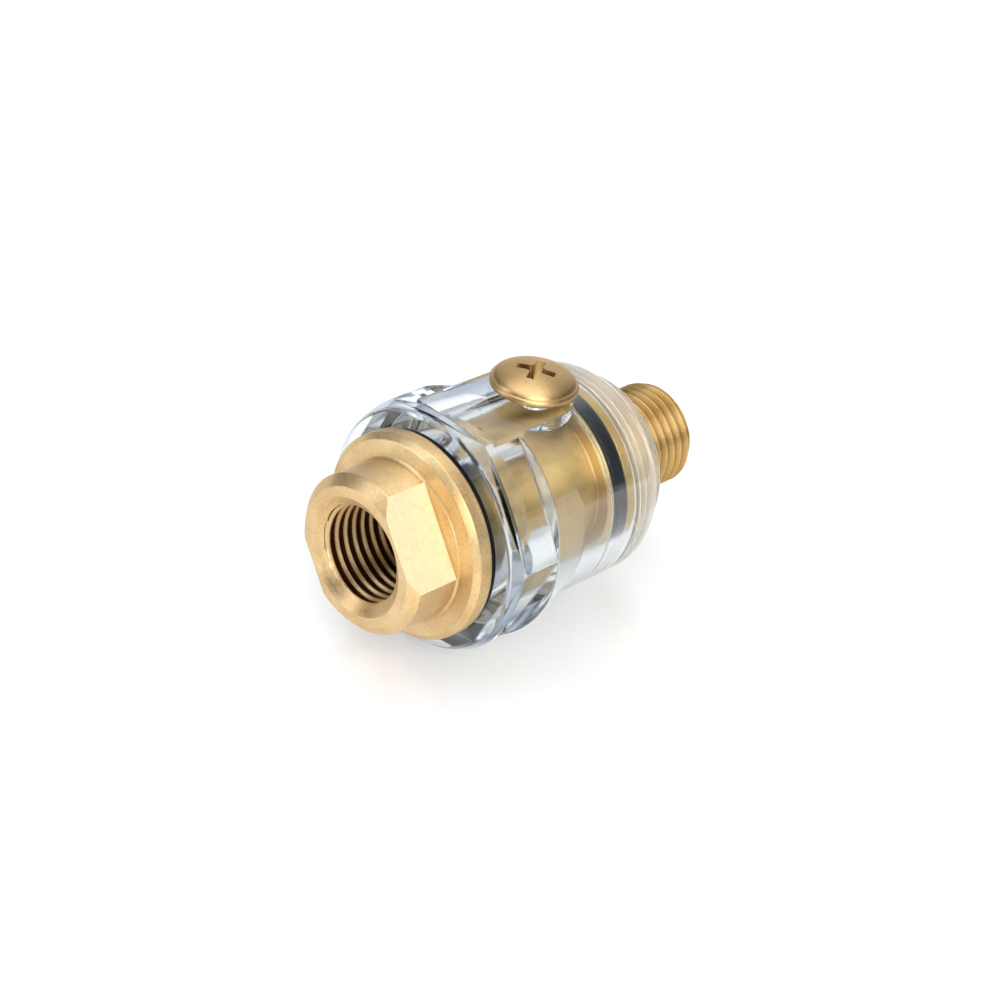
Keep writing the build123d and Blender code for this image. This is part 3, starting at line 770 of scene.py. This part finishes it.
# Operators
class LUBRICATOR_OT_finishes(bpy.types.Operator):
    """Make the object's materials"""
    bl_idname = "lubricator.finishes"
    bl_label = "Finishes"
    bl_options = {"REGISTER", "UNDO"}

    def execute(self, context):
        tint = context.scene.lubricator_finishes
        fill_centre = [(low + high) / 2 for low, high in zip(*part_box("fill_screw"))]
        # satin turned brass: pale peach gold, broad soft highlights, fine rings from the lathe
        turned_brass("satin turned brass", tint.inlet_pale, tint.inlet_deep, roughness=0.42,
                     mark_spacing=0.16, mark_depth=0.004, anisotropy=0.7, metallic=0.9)
        # milled brass: flat, pale and cream against the turned faces
        milled_brass("milled brass", tint.flat_pale, tint.flat_deep, roughness=0.55, mark_spacing=0.25)
        # thread root brass: painted shade, a dark red-brown laid in the roots of the female thread, between
        # bright crests
        grained("thread brass with painted root shade", tint.root, paint("4A2812"), grain_size=0.6, roughness=0.35,
                grain_depth=0.004, metallic=1.0)
        # bright turned brass: deeper gold, seen through the plastic and on the male thread
        turned_brass("bright turned brass", tint.core_pale, tint.core_deep, roughness=0.44,
                     mark_spacing=0.22, mark_depth=0.003, anisotropy=0.85)
        # polished brass that hands and a screwdriver have dulled: soft sheen, the faintest rings
        turned_brass("polished brass", tint.screw_pale, tint.screw_deep, roughness=0.42,
                     mark_spacing=0.30, mark_depth=0.0015, centre=fill_centre, axis="Z", anisotropy=0.5)
        # the same brass where nothing touches it: still bright, with sharp highlights
        turned_brass("polished brass needle", tint.screw_pale, tint.screw_deep, roughness=0.17,
                     mark_spacing=0.20, mark_depth=0.0015)
        # moulded polycarbonate: water clear, with grey edges where it bends the light
        clear_polycarbonate("clear moulded polycarbonate", tint.plastic, least_rough=0.04, most_rough=0.09)
        # bored polycarbonate: the oil space, left a little foggy by the cutter
        clear_polycarbonate("bored polycarbonate", tint.plastic, least_rough=0.08, most_rough=0.14)
        # cut polycarbonate: the tapped thread, frosted by the tool, whitish over the brass
        clear_polycarbonate("frosted cut polycarbonate", tint.plastic, least_rough=0.2, most_rough=0.3,
                            haze=0.25)
        # nitrile rubber: black, dull sheen
        rubber("nitrile rubber", tint.rubber, roughness=0.42)
        # nylon: cream, soft and waxy
        grained("moulded nylon", paint("E8DCBC"), paint("DBCDA6"), grain_size=0.5, roughness=0.45,
                grain_depth=0.01)
        # felt: off-white and matt, with loose fibres
        grained("wool felt", paint("E4DECB"), paint("B9B098"), grain_size=0.12, roughness=0.95,
                grain_depth=0.08)
        # sintered bronze: brown gold, porous and dull
        grained("sintered bronze", paint("B98A55"), paint("7A5630"), grain_size=0.15, roughness=0.55,
                grain_depth=0.05, metallic=1.0)
        # spring steel and ball steel: bright grey, lightly drawn or ground
        grained("bright steel", paint("D2D3D6"), paint("B4B6BA"), grain_size=0.2, roughness=0.2,
                grain_depth=0.002, metallic=1.0)
        return {"FINISHED"}


class LUBRICATOR_OT_inlet_body(bpy.types.Operator):
    """Build the inlet body with its female thread and wrench flats"""
    bl_idname = "lubricator.inlet_body"
    bl_label = "Inlet body"
    bl_options = {"REGISTER", "UNDO"}

    def execute(self, context):
        size = in_mm(context.scene.lubricator_inlet)
        thread = in_mm(context.scene.lubricator_threads)
        brass = bpy.data.materials["satin turned brass"]
        face, spigot_end = span("inlet_body")
        thread_end = face + size.thread_end
        flange_front = face + size.flange_front
        flange_rear = flange_front + size.flange_thickness
        web_rear = thread_end + size.web
        boss, flange, spigot = size.boss_radius, size.flange_radius, size.spigot_radius
        root_fillet = 0.25
        rear_chamfer = 0.25
        spigot_chamfer = 0.5
        # how far the turned edges are rounded
        face_edge = 0.15
        boss_edge = 0.3
        root_edge = 0.2
        flange_edge = 0.25
        rear_edge = 0.15
        gasket_edge = 0.1
        spigot_edge = 0.12
        web_edge = 0.1
        profile = eased([
            (face, size.mouth_radius),
            (face, boss - size.boss_chamfer, face_edge),
            (face + size.boss_chamfer, boss, boss_edge),
            (flange_front - root_fillet, boss, root_edge),
            (flange_front, boss + root_fillet, root_edge),
            (flange_front, flange - size.flange_chamfer, flange_edge),
            (flange_front + size.flange_chamfer, flange, flange_edge),
            (flange_rear - rear_chamfer, flange, rear_edge),
            (flange_rear, flange - rear_chamfer, gasket_edge),
            (flange_rear, spigot),
            (spigot_end - spigot_chamfer, spigot, spigot_edge),
            (spigot_end, spigot - spigot_chamfer, spigot_edge),
            (spigot_end, size.socket_radius),
            (web_rear, size.socket_radius),
            (web_rear, size.web_radius, web_edge),
            (thread_end, size.web_radius, web_edge),
            (thread_end, thread.pipe_minor),
        ])
        mesh = bmesh.new()
        spin(mesh, profile, thread.around)
        # the thread comes up over a short run-in behind the face, and dies away before the web
        run_in_start = 0.6
        run_in_end = 1.3
        run_out = 1.5
        add_surface(mesh, thread_mesh(
            "inlet thread", brass, thread.around, True, start=face, end=thread_end,
            pitch=thread.pipe_pitch, base_radius=thread.pipe_minor, depth=thread.pipe_depth,
            fade_start=thread_end, fade_end=thread_end - run_out, run_in_start=face + run_in_start,
            run_in_end=face + run_in_end, cone_start=face,
            cone_end=face + size.mouth_depth, cone_start_radius=size.mouth_radius,
            cone_end_radius=thread.pipe_minor))
        piece = new_piece("inlet_body_turned", mesh)
        flat_end = flange_front - 0.15
        for side in (0, math.pi):
            tool = block((face - PAST, -boss - PAST, size.flats_height),
                         (flat_end, boss + PAST, boss + 2 * PAST), rolled(size.flats_turn + side))
            combine(piece, tool, "DIFFERENCE")
        smooth(piece)
        dress(piece, brass, "housing", "inlet_brass", "inlet_body")
        piece.data.materials.append(bpy.data.materials["milled brass"])
        piece.data.materials.append(bpy.data.materials["thread brass with painted root shade"])
        milled = 1
        root_shaded = 2
        same_way = 0.999
        outwards = Vector((0, -math.sin(size.flats_turn), math.cos(size.flats_turn)))
        # painted shade: the faces in the female thread's roots get the dark thread-root brass
        shade_front = face + 1.2
        shade_rear = thread_end - 0.01
        shade_inner = thread.pipe_minor + thread.pipe_depth * 0.35
        shade_outer = thread.pipe_minor + thread.pipe_depth
        for polygon in piece.data.polygons:
            spot = polygon.center / MM
            height = abs(spot.dot(outwards))
            if abs(polygon.normal.dot(outwards)) > same_way and abs(height - size.flats_height) < HAIR:
                polygon.material_index = milled
            away = math.hypot(spot.y, spot.z)
            if shade_front < spot.x < shade_rear and shade_inner < away < shade_outer:
                polygon.material_index = root_shaded
        return {"FINISHED"}


class LUBRICATOR_OT_core(bpy.types.Operator):
    """Build the core with its land, rear thread and male outlet thread"""
    bl_idname = "lubricator.core"
    bl_label = "Core"
    bl_options = {"REGISTER", "UNDO"}

    def execute(self, context):
        size = in_mm(context.scene.lubricator_core)
        thread = in_mm(context.scene.lubricator_threads)
        brass = bpy.data.materials["bright turned brass"]
        nose_front, outlet_end = span("core")
        barrel_front = nose_front + size.nose_length
        land = size.land_radius
        nose_step = 1.0
        lip_chamfer = 0.4
        bore_chamfer = 0.6
        # how far the turned edges are rounded
        barrel_edge = 0.12
        lip_root_edge = 0.25
        lip_edge = 0.1
        groove_edge = 0.06
        groove_root_edge = 0.1
        bore_edge = 0.12
        front = eased([
            (nose_front, size.jet_bore_radius),
            (nose_front, size.nose_radius - nose_step),
            (nose_front + nose_step, size.nose_radius - nose_step),
            (nose_front + nose_step, size.nose_radius),
            (barrel_front, size.nose_radius),
            (barrel_front, size.barrel_radius, barrel_edge),
            (-size.land_front, size.barrel_radius, lip_root_edge),
            (-size.land_front, size.lip_radius - lip_chamfer, lip_edge),
            (-size.land_front + lip_chamfer, size.lip_radius, lip_edge),
            (-size.groove_front, size.lip_radius, groove_edge),
            (-size.groove_front, size.groove_radius, groove_root_edge),
            (-size.groove_rear, size.groove_radius, groove_root_edge),
            (-size.groove_rear, land, groove_edge),
            (-size.land_rear, land, groove_edge),
            (-size.land_rear, thread.body_minor),
        ])
        rear_radius = thread.body_minor - 0.15
        pipe_major = thread.pipe_minor + thread.pipe_depth
        pipe_end_radius = thread.pipe_minor - HAIR
        rear = [(0.0, rear_radius), (0.0, pipe_major)]
        inside = eased([
            (outlet_end, pipe_end_radius),
            (outlet_end, size.outlet_bore_radius + bore_chamfer, bore_edge),
            (outlet_end - bore_chamfer, size.outlet_bore_radius, bore_edge),
            (-size.jet_bore_rear, size.outlet_bore_radius),
            (-size.jet_bore_rear, size.jet_bore_radius),
            (nose_front, size.jet_bore_radius),
        ])
        mesh = bmesh.new()
        for part in (front, rear, inside):
            spin(mesh, part, thread.around)
        # each thread comes up from a plain neck, and a chamfer trims its other end
        rear_fade = 0.8
        rear_chamfer = 0.7
        rear_chamfer_radius = thread.body_minor + 0.65
        add_surface(mesh, thread_mesh(
            "rear thread", brass, thread.around, False, start=-size.land_rear, end=0.0,
            pitch=thread.body_pitch, base_radius=thread.body_minor, depth=thread.body_depth,
            fade_start=-size.land_rear, fade_end=-size.land_rear + rear_fade, **NO_RUN_IN,
            cone_start=-rear_chamfer, cone_end=0.0, cone_start_radius=rear_chamfer_radius,
            cone_end_radius=rear_radius))
        outlet_fade_start = 0.4
        outlet_fade_end = 1.7
        outlet_chamfer = 0.8
        add_surface(mesh, thread_mesh(
            "outlet thread", brass, thread.around, False, start=0.0, end=outlet_end,
            pitch=thread.pipe_pitch, base_radius=pipe_major, depth=-thread.pipe_depth,
            fade_start=outlet_fade_start, fade_end=outlet_fade_end, **NO_RUN_IN,
            cone_start=outlet_end - outlet_chamfer, cone_end=outlet_end,
            cone_start_radius=pipe_major, cone_end_radius=pipe_end_radius))
        piece = new_piece("core_turned", mesh)
        # holes through the barrel's wall: the wick's points down and the bleed plug's up
        hole_gap = 0.05
        inside_end = 5.0
        for node, ends in (("wick", (-land - PAST, -inside_end)), ("bleed_plug", (inside_end, land + PAST))):
            low, high = span(node)
            radius = (high - low) / 2 + hole_gap
            tool = turned([(ends[0], 0), (ends[0], radius), (ends[1], radius), (ends[1], 0)],
                          upright((low + high) / 2), segments=48)
            combine(piece, tool, "DIFFERENCE")
        smooth(piece)
        dress(piece, brass, "housing", "core_brass", "core")
        return {"FINISHED"}


class LUBRICATOR_OT_reservoir(bpy.types.Operator):
    """Build the clear reservoir with its hexagon, fill pad and threaded bore"""
    bl_idname = "lubricator.reservoir"
    bl_label = "Reservoir"
    bl_options = {"REGISTER", "UNDO"}

    def execute(self, context):
        size = in_mm(context.scene.lubricator_reservoir)
        thread = in_mm(context.scene.lubricator_threads)
        front, rear = span("reservoir")
        piece = self.turn_outside(size, front, rear, thread.around)
        self.mill_hexagon(piece, size, front)
        self.raise_pad(piece, size, front)
        self.bore(piece, size, thread, front, rear)
        self.drill_fill_hole(piece)
        smooth(piece)
        clear = bpy.data.materials["clear moulded polycarbonate"]
        dress(piece, clear, "housing", "clear_plastic", "reservoir")
        self.mark_cut_faces(piece, size, thread, front, rear)
        return {"FINISHED"}

    def turn_outside(self, size, front, rear, segments):
        """Turned form without its hexagon: rim, cone, blank, taper, cylinder, shoulder and rear rim."""
        hexagon = front + size.hexagon_front
        hexagon_rear = hexagon + size.hexagon_length
        taper_end = hexagon_rear + size.taper_length
        blank_inset = 0.5
        face_width = 3
        # how far the moulded edges are rounded
        rim_edge = 0.6
        blank_front_edge = 0.6
        blank_rear_edge = 0.8
        taper_edge = 2.5
        shoulder_length = 3.2
        shoulder_drop = 1.8
        rear_rim_length = 2.0
        rear_rim_radius = 10.95
        rear_rim_root_edge = 0.12
        rear_rim_edge = 0.5
        rear_face_radius = 9
        rim_front = rear - rear_rim_length
        round_start = rim_front - shoulder_length
        profile = [(front, 0)] + eased([
            (front, size.collar_radius - face_width),
            (front, size.collar_radius, rim_edge),
            (hexagon + blank_inset, size.blank_radius, blank_front_edge),
            (hexagon_rear - blank_inset, size.blank_radius, blank_rear_edge),
            (taper_end, size.body_radius, taper_edge),
            (round_start, size.body_radius),
        ], steps=6)
        # the rear shoulder is one arc that leaves the cylinder without a corner
        shoulder_steps = 12
        shoulder = (shoulder_length ** 2 + shoulder_drop ** 2) / (2 * shoulder_drop)
        bend = math.asin(shoulder_length / shoulder)
        for step in range(1, shoulder_steps + 1):
            part = bend * step / shoulder_steps
            profile.append((round_start + shoulder * math.sin(part),
                            size.body_radius - shoulder * (1 - math.cos(part))))
        profile += eased([
            (rim_front, size.body_radius - shoulder_drop),
            (rim_front, rear_rim_radius, rear_rim_root_edge),
            (rear, rear_rim_radius, rear_rim_edge),
            (rear, rear_face_radius),
        ], steps=5)[1:] + [(rear, 0)]
        return turned(profile, segments=segments, name="reservoir_moulded")

    def mill_hexagon(self, piece, size, front):
        """Cut the six flats, whose front and rear lines bow outwards."""
        hexagon = front + size.hexagon_front
        hexagon_rear = hexagon + size.hexagon_length
        past_corner = 1.2
        half = size.hexagon_height * math.tan(math.radians(30)) * past_corner
        steps = 24
        bow = []
        for step in range(steps + 1):
            across = -1 + 2 * step / steps
            bow.append((hexagon_rear + size.rear_bow * (1 - across ** 2), across * half))
        for step in range(steps + 1):
            across = 1 - 2 * step / steps
            bow.append((hexagon - size.front_bow * (1 - across ** 2), across * half))
        for side in range(6):
            tool = prism(bow, size.hexagon_height, size.blank_radius + 3 * PAST,
                         rolled(size.hexagon_turn + side * math.pi / 3))
            combine(piece, tool, "DIFFERENCE")

    def raise_pad(self, piece, size, front):
        """Add the fill pad with its round end, and clear what stands higher beside it."""
        pad_front = front + size.pad_front
        pad_round = front + size.pad_round
        half_width = size.pad_half_width
        pad_root = size.pad_height - 2.3
        clear_rear = pad_round + 1.5
        steps = 32
        outline = [(pad_front, -half_width), (pad_round, -half_width)]
        for step in range(1, steps):
            around = -math.pi / 2 + math.pi * step / steps
            outline.append((pad_round + half_width * math.cos(around), half_width * math.sin(around)))
        outline += [(pad_round, half_width), (pad_front, half_width)]
        combine(piece, prism(outline, pad_root, size.pad_height), "UNION")
        combine(piece, block((pad_front, -size.hexagon_height - 3 * PAST, size.pad_height),
                             (clear_rear, half_width, size.blank_radius + 3 * PAST)), "DIFFERENCE")

    def bore(self, piece, size, thread, front, rear):
        """Cut the oil space, the seal's bore and the tapped rear thread."""
        thread_front = rear - size.thread_length
        seal_bore = thread_front - size.seal_bore_length
        minor = thread.body_minor + THREAD_GAP
        flare_radius = minor + thread.body_depth + 0.2
        flare_end = rear + 0.2
        flare_start = rear - 0.6
        fade = 0.8
        mesh = bmesh.new()
        spin(mesh, [
            (front - PAST, 0),
            (front - PAST, size.bore_radius),
            (seal_bore - size.seal_bore_lead, size.bore_radius),
            (seal_bore, size.seal_bore_radius),
            (thread_front, size.seal_bore_radius),
            (thread_front, minor),
        ], thread.around)
        add_surface(mesh, thread_mesh(
            "reservoir thread", bpy.data.materials["clear moulded polycarbonate"], thread.around, True,
            start=thread_front, end=flare_end, pitch=thread.body_pitch, base_radius=minor,
            depth=thread.body_depth, fade_start=thread_front, fade_end=thread_front + fade, **NO_RUN_IN,
            cone_start=flare_start, cone_end=flare_end, cone_start_radius=minor,
            cone_end_radius=flare_radius))
        spin(mesh, [
            (flare_end, flare_radius),
            (rear + PAST, flare_radius),
            (rear + PAST, 0),
        ], thread.around)
        combine(piece, new_piece("tool", mesh), "DIFFERENCE")

    def drill_fill_hole(self, piece):
        """Cut the fill screw's hole and the counterbore that takes its seal."""
        fill_low, fill_high = span("fill_screw")
        seal_low, seal_high = span("fill_seal")
        seat = span("fill_seal", 2)[0] - SEAT_GAP
        seat_radius = (seal_high - seal_low) / 2 + 0.05
        hole_radius = 2.5
        bottom = 5
        top = 20
        tool = turned([
            (bottom, 0),
            (bottom, hole_radius),
            (seat, hole_radius),
            (seat, seat_radius),
            (top, seat_radius),
            (top, 0),
        ], upright((fill_low + fill_high) / 2))
        combine(piece, tool, "DIFFERENCE")

    def mark_cut_faces(self, piece, size, thread, front, rear):
        """Give the tapped thread and the oil space the finish that their cutters left."""
        piece.data.materials.append(bpy.data.materials["frosted cut polycarbonate"])
        piece.data.materials.append(bpy.data.materials["bored polycarbonate"])
        frosted = 1
        bored = 2
        near = 0.05
        thread_front = rear - size.thread_length
        bore_rear = thread_front - size.seal_bore_length - size.seal_bore_lead
        thread_outer = thread.body_minor + THREAD_GAP + thread.body_depth + near
        for polygon in piece.data.polygons:
            spot = polygon.center / MM
            away = math.hypot(spot.y, spot.z)
            if spot.x > thread_front - 0.01 and away < thread_outer:
                polygon.material_index = frosted
            elif away < size.bore_radius + near and front < spot.x < bore_rear:
                polygon.material_index = bored


class LUBRICATOR_OT_fill_screw(bpy.types.Operator):
    """Build the fill screw with its rounded lip and cross recess"""
    bl_idname = "lubricator.fill_screw"
    bl_label = "Fill screw"
    bl_options = {"REGISTER", "UNDO"}

    def execute(self, context):
        size = in_mm(context.scene.lubricator_fill_screw)
        brass = bpy.data.materials["polished brass"]
        low, high = span("fill_screw")
        bottom, top = span("fill_screw", 2)
        centre = (low + high) / 2
        lip_top = top - size.dome
        under = lip_top - size.lip
        seal_top = span("fill_seal", 2)[1] + SEAT_GAP
        lip_reach = size.lip / 3
        inner = size.head_radius - lip_reach
        shank = size.shank_radius
        tip_chamfer = 0.4
        thread_start = bottom + tip_chamfer
        segments = 160
        # how far the turned edges are rounded
        neck_edge = 0.15
        head_root_edge = 0.3
        tip = [(bottom, 0), (bottom, shank - tip_chamfer), (thread_start, shank)]
        profile = eased([
            (seal_top, shank),
            (seal_top, size.neck_radius, neck_edge),
            (under, size.neck_top_radius, head_root_edge),
            (under, inner),
        ])
        lip_steps = 12
        for step in range(1, lip_steps + 1):
            around = -math.pi / 2 + math.pi * step / lip_steps
            profile.append((under + size.lip / 2 + size.lip / 2 * math.sin(around),
                            inner + lip_reach * math.cos(around)))
        dome_steps = 32
        for step in range(1, dome_steps):
            around = math.pi / 2 * step / dome_steps
            profile.append((lip_top + size.dome * math.sin(around), inner * math.cos(around)))
        profile.append((lip_top + size.dome, 0))
        run_in = 0.4
        run_out = 0.5
        untrimmed = shank + PAST
        mesh = bmesh.new()
        spin(mesh, tip, segments)
        add_surface(mesh, thread_mesh(
            "fill screw thread", brass, segments, False, start=thread_start, end=seal_top,
            pitch=size.shank_pitch, base_radius=shank, depth=-size.shank_depth, fade_start=seal_top,
            fade_end=seal_top - run_out, run_in_start=thread_start, run_in_end=thread_start + run_in,
            cone_start=bottom, cone_end=seal_top, cone_start_radius=untrimmed, cone_end_radius=untrimmed))
        spin(mesh, profile, segments)
        piece = new_piece("fill_screw_turned", mesh, upright(centre))

        # levels of the recess, from above its mouth down to its point
        arm, reach, deep = size.recess_arm / 2, size.recess_span / 2, size.recess_depth
        mouth = (top + 0.3, arm + 0.03, reach + 0.15, 0.35)
        shoulder = (top - 0.7, arm - 0.05, reach - 0.35, 0.32)
        floor = (top - deep * 0.8, arm - 0.12, arm + 0.62, 0.25)
        point = (top - deep, arm * 0.4, arm * 0.7, 0.08)
        tool = cross_tool((mouth, shoulder, floor, point), size.recess_turn, centre)
        combine(piece, tool, "DIFFERENCE")
        smooth(piece, angle=30)
        dress(piece, brass, "fill_screw", "polished_brass", "fill_screw")
        return {"FINISHED"}


class LUBRICATOR_OT_packed_pieces(bpy.types.Operator):
    """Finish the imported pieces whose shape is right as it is"""
    bl_idname = "lubricator.packed_pieces"
    bl_label = "Seals and inner pieces"
    bl_options = {"REGISTER", "UNDO"}

    def execute(self, context):
        finishes = {
            "nitrile rubber": ("front_gasket", "rear_o_ring", "nose_seal", "jet_seal_front",
                               "jet_seal_rear", "metering_seal"),
            "moulded nylon": ("fill_seal",),
            "bright turned brass": ("jet_block", "nozzle"),
            "polished brass needle": ("metering_screw",),
            "wool felt": ("wick",),
            "sintered bronze": ("bleed_plug",),
            "bright steel": ("check_ball", "check_spring"),
        }
        for material, nodes in finishes.items():
            for node in nodes:
                dress_node(node, bpy.data.materials[material])
        return {"FINISHED"}


class LUBRICATOR_OT_studio(bpy.types.Operator):
    """Lay the floor, and set the lights, the surround and the camera"""
    bl_idname = "lubricator.studio"
    bl_label = "Studio"
    bl_options = {"REGISTER", "UNDO"}

    # middle of the object in mm, which the lights aim at
    middle = Vector((-15, 0, 0))

    def execute(self, context):
        scene = context.scene
        size = scene.lubricator_studio
        self.lay_floor(size)
        self.set_surround(scene, size)
        # softboxes: name, colour, place in mm, width and height in mm, power in watts
        self.softbox(scene, "side softbox", "FFFFFF", (-180, -240, 190), (260, 280), size.key)
        self.softbox(scene, "top softbox", "FFFFFF", (-40, 30, 300), (320, 260), size.overhead)
        self.softbox(scene, "fill softbox", "DCE6F7", (-260, 170, 110), (120, 260), size.fill)
        self.set_camera(scene, size)
        scene.view_settings.view_transform = "Standard"
        return {"FINISHED"}

    def lay_floor(self, size):
        """White glossy floor just under the object."""
        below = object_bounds()[0][2] - HAIR * MM
        glow_near = 40
        glow_far = 260
        reach = size.floor_reach
        mesh = bmesh.new()
        corners = [mesh.verts.new((x, y, below))
                   for x, y in ((-reach, -reach), (reach, -reach), (reach, reach), (-reach, reach))]
        mesh.faces.new(corners)
        floor = new_piece("floor", mesh)
        tree, shader, where = start_material("white studio floor")
        # the floor's own glow grows with distance, where the softboxes no longer reach
        away = add_node(tree, "ShaderNodeVectorMath", {
            0: where, 1: self.middle * MM,
        }, operation="DISTANCE").outputs["Value"]
        glow = ranged(tree, away, glow_near * MM, glow_far * MM, size.floor_glow, size.floor_glow_far)
        rays = add_node(tree, "ShaderNodeLightPath")
        glow = mixed(tree, rays.outputs["Is Diffuse Ray"], glow, 0.0)
        set_inputs(tree, shader, {
            "Base Color": paint("D8D8D8"), "Roughness": 0.26, "IOR": 2.4,
            "Emission Color": paint("FFFFFF"), "Emission Strength": glow,
        })
        floor.data.materials.append(bpy.data.materials["white studio floor"])
        floor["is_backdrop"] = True

    def set_surround(self, scene, size):
        """White to the camera, and to metal and plastic a bright backdrop and ceiling in a dimmer room."""
        world = bpy.data.worlds.new("studio surround")
        scene.world = world
        world.use_nodes = True
        tree = world.node_tree
        tree.nodes.clear()
        way = add_node(tree, "ShaderNodeTexCoord").outputs["Generated"]
        # a white backdrop behind the object and a bright ceiling, with a dimmer room round them
        backdrop_way = (0.66, 0.56, 0.50)
        backdrop_fade = (0.75, 0.98)
        ceiling_fade = (0.60, 0.95)
        brightest_through = 0.95
        facing = add_node(tree, "ShaderNodeVectorMath", {
            0: way, 1: backdrop_way,
        }, operation="DOT_PRODUCT").outputs["Value"]
        backdrop = ranged(tree, facing, *backdrop_fade, kind="SMOOTHSTEP")
        height = add_node(tree, "ShaderNodeSeparateXYZ", {"Vector": way}).outputs["Z"]
        ceiling = ranged(tree, height, *ceiling_fade, kind="SMOOTHSTEP")
        bright = maths_node(tree, "MAXIMUM", backdrop, ceiling)
        rays = add_node(tree, "ShaderNodeLightPath")
        mirrored = ranged(tree, bright, 0.0, 1.0, size.mirrored_room, 1.0)
        through = ranged(tree, bright, 0.0, 1.0, size.room_through_plastic, brightest_through)
        lit = mixed(tree, rays.outputs["Is Glossy Ray"], size.surround, mirrored)
        lit = mixed(tree, rays.outputs["Is Transmission Ray"], lit, through)
        strength = mixed(tree, rays.outputs["Is Camera Ray"], lit, 1.0)
        white = maths_node(tree, "MAXIMUM", bright, rays.outputs["Is Camera Ray"])
        shade = blended(tree, white, paint("DCE5F4"), paint("FFFFFF"))
        background = add_node(tree, "ShaderNodeBackground", {"Color": shade, "Strength": strength})
        output = tree.nodes.new("ShaderNodeOutputWorld")
        tree.links.new(background.outputs[0], output.inputs["Surface"])

    def softbox(self, scene, name, shade, place, extent, power):
        """Rectangular lamp that aims at the object."""
        lamp = bpy.data.lights.new(name, "AREA")
        lamp.color = paint(shade)[:3]
        lamp.shape = "RECTANGLE"
        lamp.size, lamp.size_y = extent[0] * MM, extent[1] * MM
        lamp.energy = power
        holder = bpy.data.objects.new(name, lamp)
        holder.location = Vector(place) * MM
        aim = self.middle - Vector(place)
        holder.rotation_euler = aim.to_track_quat("-Z", "Y").to_euler()
        scene.collection.objects.link(holder)

    def set_camera(self, scene, size):
        """Camera at the photograph's viewing angle, worked out from the ellipses of the object's rims."""
        lens = bpy.data.cameras.new("camera")
        lens.sensor_width = 36.0
        lens.lens = size.lens
        lens.clip_start = 0.01
        lens.clip_end = 50.0
        right = Vector((0.697701, -0.703483, 0.135367))
        up = Vector((0.298855, 0.457546, 0.837459))
        look = Vector((0.651075, 0.543841, -0.52947))
        place = Vector((-186.3927, -142.2282, 137.8072)) * MM
        camera = bpy.data.objects.new("camera", lens)
        camera.matrix_world = Matrix((
            (right.x, up.x, -look.x, place.x),
            (right.y, up.y, -look.y, place.y),
            (right.z, up.z, -look.z, place.z),
            (0.0, 0.0, 0.0, 1.0)))
        scene.collection.objects.link(camera)
        scene.camera = camera


class LUBRICATOR_PT_build(bpy.types.Panel):
    """Panel with the building steps and their sizes"""
    bl_idname = "LUBRICATOR_PT_build"
    bl_label = "Air line lubricator"
    bl_space_type = "VIEW_3D"
    bl_region_type = "UI"
    bl_category = "Lubricator"

    def draw(self, context):
        for step in STEPS:
            self.layout.operator(step.bl_idname)
        for name in GROUPS:
            settings = getattr(context.scene, name)
            box = self.layout.box()
            box.label(text=settings.bl_rna.description)
            for entry in settings.bl_rna.properties:
                if entry.identifier not in ("rna_type", "name"):
                    box.prop(settings, entry.identifier)


# Registration
GROUPS = {
    "lubricator_finishes": LubricatorFinishes,
    "lubricator_threads": LubricatorThreads,
    "lubricator_inlet": LubricatorInlet,
    "lubricator_core": LubricatorCore,
    "lubricator_reservoir": LubricatorReservoir,
    "lubricator_fill_screw": LubricatorFillScrew,
    "lubricator_studio": LubricatorStudio,
}
STEPS = (
    LUBRICATOR_OT_finishes,
    LUBRICATOR_OT_inlet_body,
    LUBRICATOR_OT_core,
    LUBRICATOR_OT_reservoir,
    LUBRICATOR_OT_fill_screw,
    LUBRICATOR_OT_packed_pieces,
    LUBRICATOR_OT_studio,
)


def register():
    """Register the settings, the steps and the panel."""
    for name, group in GROUPS.items():
        bpy.utils.register_class(group)
        setattr(bpy.types.Scene, name, PointerProperty(type=group))
    for step in STEPS:
        bpy.utils.register_class(step)
    bpy.utils.register_class(LUBRICATOR_PT_build)


def unregister():
    """Take away what register added."""
    bpy.utils.unregister_class(LUBRICATOR_PT_build)
    for step in reversed(STEPS):
        bpy.utils.unregister_class(step)
    for name, group in reversed(GROUPS.items()):
        delattr(bpy.types.Scene, name)
        bpy.utils.unregister_class(group)


def main():
    """Build the whole object and the studio."""
    register()
    bpy.ops.lubricator.finishes()
    bpy.ops.lubricator.inlet_body()
    bpy.ops.lubricator.core()
    bpy.ops.lubricator.reservoir()
    bpy.ops.lubricator.fill_screw()
    bpy.ops.lubricator.packed_pieces()
    bpy.ops.lubricator.studio()


if __name__ == "__main__":
    main()
